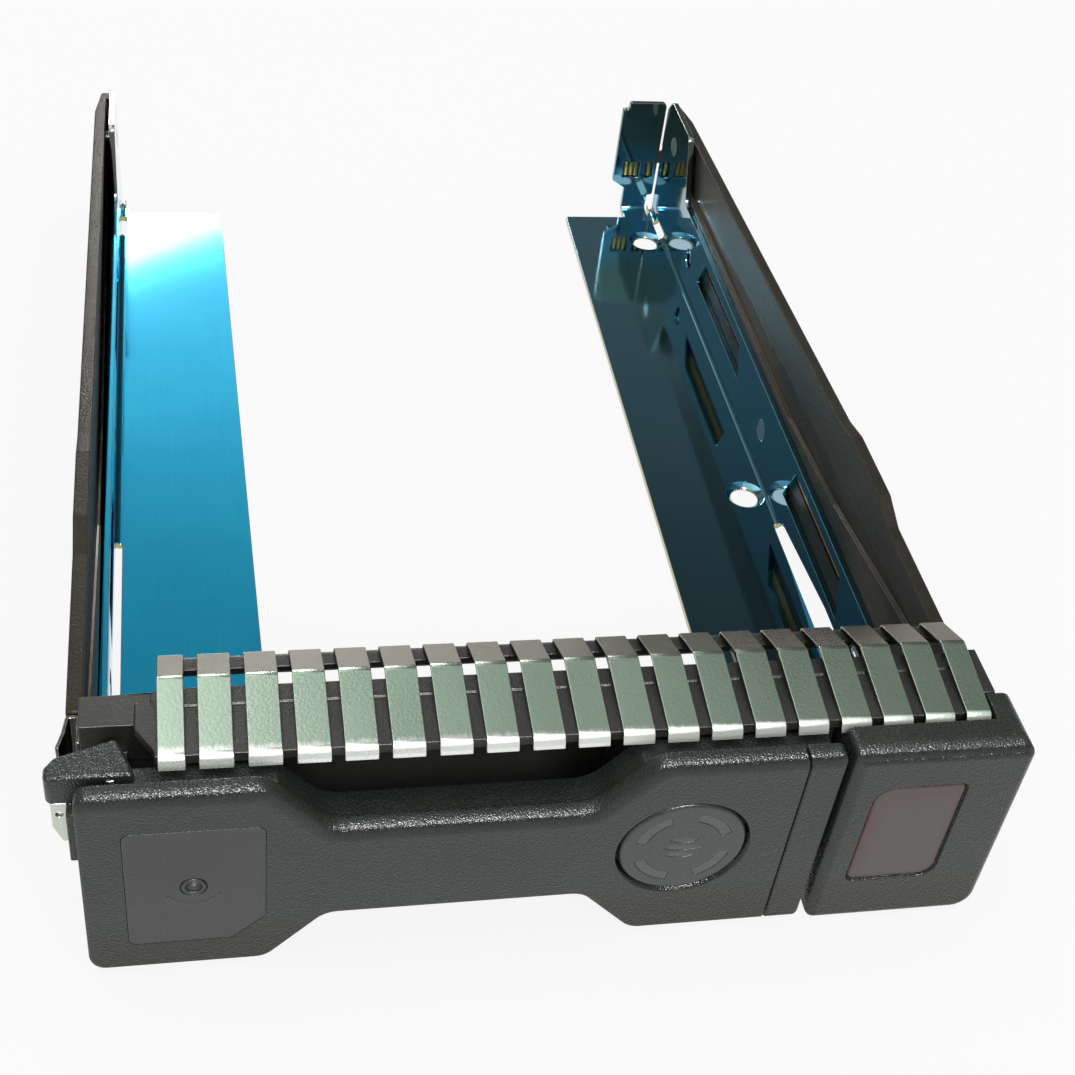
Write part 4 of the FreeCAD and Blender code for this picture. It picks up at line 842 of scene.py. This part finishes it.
def field_ring():
    """Small ring with a half-round rim, the disc inside it, and a low curved ridge under it."""
    radius = settings("sizes").ring_radius * MM
    half, floor, foot = 0.24, 0.20, 0.42
    ridge_radius, ridge_half, ridge_rise, ridge_top, ridge_foot = 3.15, 0.28, 0.08, 0.14, 0.30
    low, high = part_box("indicator_ring")
    middle = np.array([(low.x + high.x) * MM / 2, 0.0, (low.z + high.z) * MM / 2])
    front = (low.y + HALF) * MM
    angle = np.linspace(0, np.pi, 9)
    rim = np.stack([radius - half - half * np.cos(angle), front + half - half * np.sin(angle)], 1)
    seat = np.array([(radius, front + foot), (radius - 2 * half, front + foot)])
    ring = turned(np.concatenate([rim, seat]), 48)
    inside = radius - 0.4
    plate = [(0.0, front + floor), (inside, front + floor), (inside, front + foot), (0.0, front + foot)]
    disc = turned(plate, 48)
    ridge = np.stack([ridge_radius - ridge_half * np.cos(angle),
                      front + ridge_top - ridge_rise * np.sin(angle)], 1)
    seat = np.array([(ridge_radius + ridge_half, front + ridge_foot),
                     (ridge_radius - ridge_half, front + ridge_foot)])
    first, last = math.radians(205), math.radians(335)
    arc = turned(np.concatenate([ridge, seat]), 30, first, last)
    parts = [(ring + middle, True, True), (disc + middle, True, True), (arc + middle, False, True)]
    return bpy.data.objects.new("field_ring", join_skins("field_ring", parts))


def floor_sheet():
    """Floor: a level square grid just under the caddy."""
    level = -0.0004
    side = np.linspace(-3.0, 3.0, 5)
    x, y = np.meshgrid(side, side, indexing="ij")
    mesh = skin("studio_floor", np.stack([x, y, np.full_like(x, level)], -1)[None], False, False)
    mesh.flip_normals()
    return bpy.data.objects.new("studio_floor", mesh)


def floor_paint():
    """White floor: nearly plain white to the camera and in mirrors, with a faint shadow."""
    made = bpy.data.materials.new("studio_white")
    made.use_nodes = True
    tree = made.node_tree
    tree.nodes.clear()
    path = node(tree, "LightPath").outputs
    seen = sums(tree, "MAXIMUM", path["Is Camera Ray"], path["Is Glossy Ray"],
                path["Is Transmission Ray"])
    here = node(tree, "TexCoord").outputs["Object"]
    tone = mixed(tree, noise(tree, here, 6.0, 2.0), (0.80, 0.80, 0.79), (0.84, 0.84, 0.83))
    matt = node(tree, "BsdfDiffuse", {"Color": tone})
    white = node(tree, "Emission", {"Color": WHITE, "Strength": 1.0})
    plain = 0.88
    share = product(tree, seen, plain)
    both = node(tree, "MixShader", {0: share, 1: matt.outputs[0], 2: white.outputs[0]})
    node(tree, "OutputMaterial", {"Surface": both.outputs[0]})
    return made


def studio_world():
    """World: even light on matt surfaces. Mirrors see a bright window wall straight behind that
    fades upwards and to both sides, a ceiling that fades to the right, and a bright front. Each
    fade has the two directions it lies between, then the light at each."""
    wall_fades = ((0.05, 0.20, 1.0, 0.12), (-0.10, -0.24, 1.0, 0.20))
    ceiling_fades = ((-0.06, 0.03, 2.2, 0.46), (0.06, 0.36, 1.0, 0.55))
    ceiling_from, front_from, front_rise = (0.74, 0.82), (0.30, -0.20), (0.45, 0.75, 0.22, 1.3)
    world = bpy.data.worlds.new("studio")
    world.use_nodes = True
    tree = world.node_tree
    tree.nodes.clear()
    path = node(tree, "LightPath").outputs
    place = axes(tree, node(tree, "TexCoord").outputs["Generated"])
    ramp = node(tree, "ValToRGB", {"Fac": spread(tree, place["Z"], 0.0, 1.0)})
    while len(ramp.color_ramp.elements) < len(MIRROR_LEVELS):
        ramp.color_ramp.elements.new(0.5)
    for element, (at, level) in zip(ramp.color_ramp.elements, MIRROR_LEVELS):
        element.position = at
        element.color = (level, level, level, 1.0)
    wall = product(tree, *(spread(tree, place["X"], *fade) for fade in wall_fades))
    ceiling = product(tree, *(spread(tree, place["X"], *fade) for fade in ceiling_fades))
    high = spread(tree, place["Z"], *ceiling_from)
    shade = node(tree, "Mix", {0: high, 2: wall, 3: ceiling}).outputs[0]
    front = spread(tree, place["Z"], *front_rise)
    shade = node(tree, "Mix", {0: spread(tree, place["Y"], *front_from), 2: shade, 3: front}).outputs[0]
    studio = settings("studio")
    matt = node(tree, "Background", {"Color": WHITE, "Strength": studio.even})
    strength = product(tree, shade, studio.mirror)
    mirror = node(tree, "Background", {"Color": ramp.outputs[0], "Strength": strength})
    white = node(tree, "Background", {"Color": WHITE, "Strength": 1.0})
    first = node(tree, "MixShader", {0: path["Is Glossy Ray"], 1: matt.outputs[0], 2: mirror.outputs[0]})
    plain = sums(tree, "MAXIMUM", path["Is Camera Ray"], path["Is Transmission Ray"])
    last = node(tree, "MixShader", {0: plain, 1: first.outputs[0], 2: white.outputs[0]})
    node(tree, "OutputWorld", {"Surface": last.outputs[0]})
    bpy.context.scene.world = world


def softbox(name, place, target, size, power, roll=0.0, matt=True, mirrors=True):
    """Rectangular lamp that faces its target, for matt surfaces, mirrors or both."""
    lamp = bpy.data.lights.new(name, "AREA")
    lamp.shape = "RECTANGLE"
    lamp.size, lamp.size_y = size
    lamp.energy = power
    made = bpy.data.objects.new(name, lamp)
    made.location = place
    aim = (Vector(target) - Vector(place)).to_track_quat("-Z", "Y")
    made.rotation_euler = (aim @ Quaternion((0.0, 0.0, 1.0), math.radians(roll))).to_euler()
    made.visible_camera = False
    made.visible_diffuse = matt
    made.visible_glossy = mirrors
    bpy.context.scene.collection.objects.link(made)


def stand_camera():
    """Camera at the photograph's place: turned by its azimuth, elevation and roll."""
    place = (-0.0395531, -0.2056019, 0.1740943)
    azimuth, elevation, roll = 0.2752782, 0.7260111, 0.1526793
    ahead = Vector((math.sin(azimuth) * math.cos(elevation), math.cos(azimuth) * math.cos(elevation),
                    -math.sin(elevation)))
    level = ahead.cross(Vector((0, 0, 1))).normalized()
    upright = level.cross(ahead)
    right = math.cos(roll) * level + math.sin(roll) * upright
    up = -math.sin(roll) * level + math.cos(roll) * upright
    lens = bpy.data.cameras.new("photo_camera")
    lens.sensor_fit = "HORIZONTAL"
    lens.sensor_width = 36.0
    lens.lens = settings("studio").focal
    lens.shift_x, lens.shift_y = -0.01409, 0.01666
    lens.clip_start, lens.clip_end = 0.01, 20.0
    camera = bpy.data.objects.new("photo_camera", lens)
    turn = Matrix((right, up, -ahead)).transposed().to_4x4()
    camera.matrix_world = Matrix.Translation(place) @ turn
    bpy.context.scene.collection.objects.link(camera)
    bpy.context.scene.camera = camera


class CADDY_OT_stage(bpy.types.Operator):
    """Makes the floor, the world, the lamps and the camera"""

    bl_idname = "caddy.stage"
    bl_label = "Studio"

    def execute(self, context):
        floor = floor_sheet()
        floor.data.materials.append(floor_paint())
        context.scene.collection.objects.link(floor)
        studio_world()
        studio = settings("studio")
        front, rear = (0.0, -0.08, 0.025), (-0.042, 0.07, 0.001)
        softbox("front_softbox", (0.10, -0.75, 0.62), front, (0.62, 0.34), studio.front, mirrors=False)
        softbox("spark_lamp", (0.02, -0.62, 0.84), front, (0.26, 0.20), studio.spark, matt=False)
        softbox("top_softbox", (-0.2, 0.12, 0.95), (0.0, 0.0, 0.0), (0.8, 0.42), studio.top, mirrors=False)
        softbox("window_lamp", (-0.051, 0.857, 0.437), rear, (0.22, 0.10), studio.rear, roll=21.0,
                matt=False)
        context.scene.view_settings.view_transform = "Standard"
        stand_camera()
        return {"FINISHED"}


class CADDY_OT_rails(bpy.types.Operator):
    """Makes the two bent steel rails"""

    bl_idname = "caddy.rails"
    bl_label = "Rails"

    def execute(self, context):
        edge = settings("sizes").sheet_edge
        softened("tray_rail_left", edge)
        softened("tray_rail_right", edge)
        return {"FINISHED"}


class CADDY_OT_guides(bpy.types.Operator):
    """Makes the two side guides"""

    bl_idname = "caddy.guides"
    bl_label = "Side guides"

    def execute(self, context):
        edge = settings("sizes").moulded_edge
        softened("side_guide_left", edge)
        softened("side_guide_right", edge)
        return {"FINISHED"}


class CADDY_OT_housing(bpy.types.Operator):
    """Makes the front housing and the fixed bezel"""

    bl_idname = "caddy.housing"
    bl_label = "Housing and bezel"

    def execute(self, context):
        edge = settings("sizes").moulded_edge
        softened("front_housing", edge * 0.7)
        softened("fixed_bezel", edge * 0.8)
        return {"FINISHED"}


class CADDY_OT_lever(bpy.types.Operator):
    """Makes the hinged lever's cover and frame"""

    bl_idname = "caddy.lever"
    bl_label = "Lever"

    def execute(self, context):
        edge = settings("sizes").moulded_edge
        softened("lever_cover", edge * 0.6)
        softened("lever_frame", edge * 0.8)
        return {"FINISHED"}


class CADDY_OT_disc(bpy.types.Operator):
    """Makes the status disc and its light segments"""

    bl_idname = "caddy.disc"
    bl_label = "Status disc"

    def execute(self, context):
        softened("status_disc", 0.00008)
        softened("status_light_inlay", 0.00006)
        return {"FINISHED"}


class CADDY_OT_field(bpy.types.Operator):
    """Makes the bare label field and its small ring"""

    bl_idname = "caddy.field"
    bl_label = "Label field"

    def execute(self, context):
        softened("indicator_window", 0.00008, reach=0.00008)
        stand_for(field_ring(), "indicator_ring")
        return {"FINISHED"}


class CADDY_OT_button(bpy.types.Operator):
    """Makes the release button with its spring, and the catch with its own"""

    bl_idname = "caddy.button"
    bl_label = "Button and catch"

    def execute(self, context):
        softened("release_button", 0.00012)
        softened("lever_catch", 0.00015)
        pressed_spring("button_spring", 1, (0, 2, 1), 1.5, 6)
        pressed_spring("catch_spring", 0, (2, 0, 1), 1.0, 5)
        return {"FINISHED"}


class CADDY_OT_fingers(bpy.types.Operator):
    """Makes the row of grounding fingers"""

    bl_idname = "caddy.fingers"
    bl_label = "Grounding fingers"

    def execute(self, context):
        stand_for(finger_strip(), "emi_finger_strip")
        return {"FINISHED"}


class CADDY_OT_hinge(bpy.types.Operator):
    """Makes the hinge pin, its spring, the steel tongue and the side clip"""

    bl_idname = "caddy.hinge"
    bl_label = "Hinge"

    def execute(self, context):
        softened("lever_pin", 0.0002)
        softened("cam_plate", 0.00006)
        softened("side_spring_clip", 0.00006)
        hinge_spring()
        return {"FINISHED"}


class CADDY_OT_contact(bpy.types.Operator):
    """Makes the rear connector, its contacts and the flat circuit"""

    bl_idname = "caddy.contact"
    bl_label = "Rear contact"

    def execute(self, context):
        softened("contact_block", 0.00012)
        softened("contact_pins", 0.00004)
        dressed("signal_flex")
        return {"FINISHED"}


class CADDY_OT_lamps(bpy.types.Operator):
    """Makes the lamp board and its clear guide"""

    bl_idname = "caddy.lamps"
    bl_label = "Lamp board"

    def execute(self, context):
        softened("led_board", 0.00008)
        softened("light_guide", 0.00015)
        return {"FINISHED"}


class CADDY_OT_fasteners(bpy.types.Operator):
    """Makes the screws and rivets"""

    bl_idname = "caddy.fasteners"
    bl_label = "Screws and rivets"

    def execute(self, context):
        for name in ("lever_screws", "bezel_screws", "rail_screws", "guide_rivets_left",
                     "guide_rivets_right"):
            softened(name, 0.00005)
        return {"FINISHED"}


class CADDY_PT_panel(bpy.types.Panel):
    """Buttons for the caddy's pieces"""

    bl_idname = "CADDY_PT_panel"
    bl_label = "Hot swap drive caddy"
    bl_space_type = "VIEW_3D"
    bl_region_type = "UI"
    bl_category = "Caddy"

    def draw(self, context):
        for operator in OPERATORS:
            self.layout.operator(operator.bl_idname)
        for kind in ("sizes", "colours", "studio"):
            group = settings(kind)
            for name in group.__annotations__:
                self.layout.prop(group, name)


OPERATORS = (
    CADDY_OT_stage, CADDY_OT_rails, CADDY_OT_guides, CADDY_OT_housing, CADDY_OT_lever, CADDY_OT_disc,
    CADDY_OT_field, CADDY_OT_button, CADDY_OT_fingers, CADDY_OT_hinge, CADDY_OT_contact,
    CADDY_OT_lamps, CADDY_OT_fasteners,
)
SETTINGS = {"colours": CaddyColours, "sizes": CaddySizes, "studio": CaddyStudio}


def register():
    """Makes the settings, operators and panel known to Blender."""
    for kind, group in SETTINGS.items():
        bpy.utils.register_class(group)
        setattr(bpy.types.Scene, "caddy_" + kind, PointerProperty(type=group))
    for made in (*OPERATORS, CADDY_PT_panel):
        bpy.utils.register_class(made)


def unregister():
    """Takes them away again."""
    for made in (CADDY_PT_panel, *reversed(OPERATORS)):
        bpy.utils.unregister_class(made)
    for kind, group in SETTINGS.items():
        delattr(bpy.types.Scene, "caddy_" + kind)
        bpy.utils.unregister_class(group)


def main():
    """Builds everything in order."""
    register()
    for operator in OPERATORS:
        group, action = operator.bl_idname.split(".")
        getattr(getattr(bpy.ops, group), action)()
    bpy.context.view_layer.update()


if __name__ == "__main__":
    main()
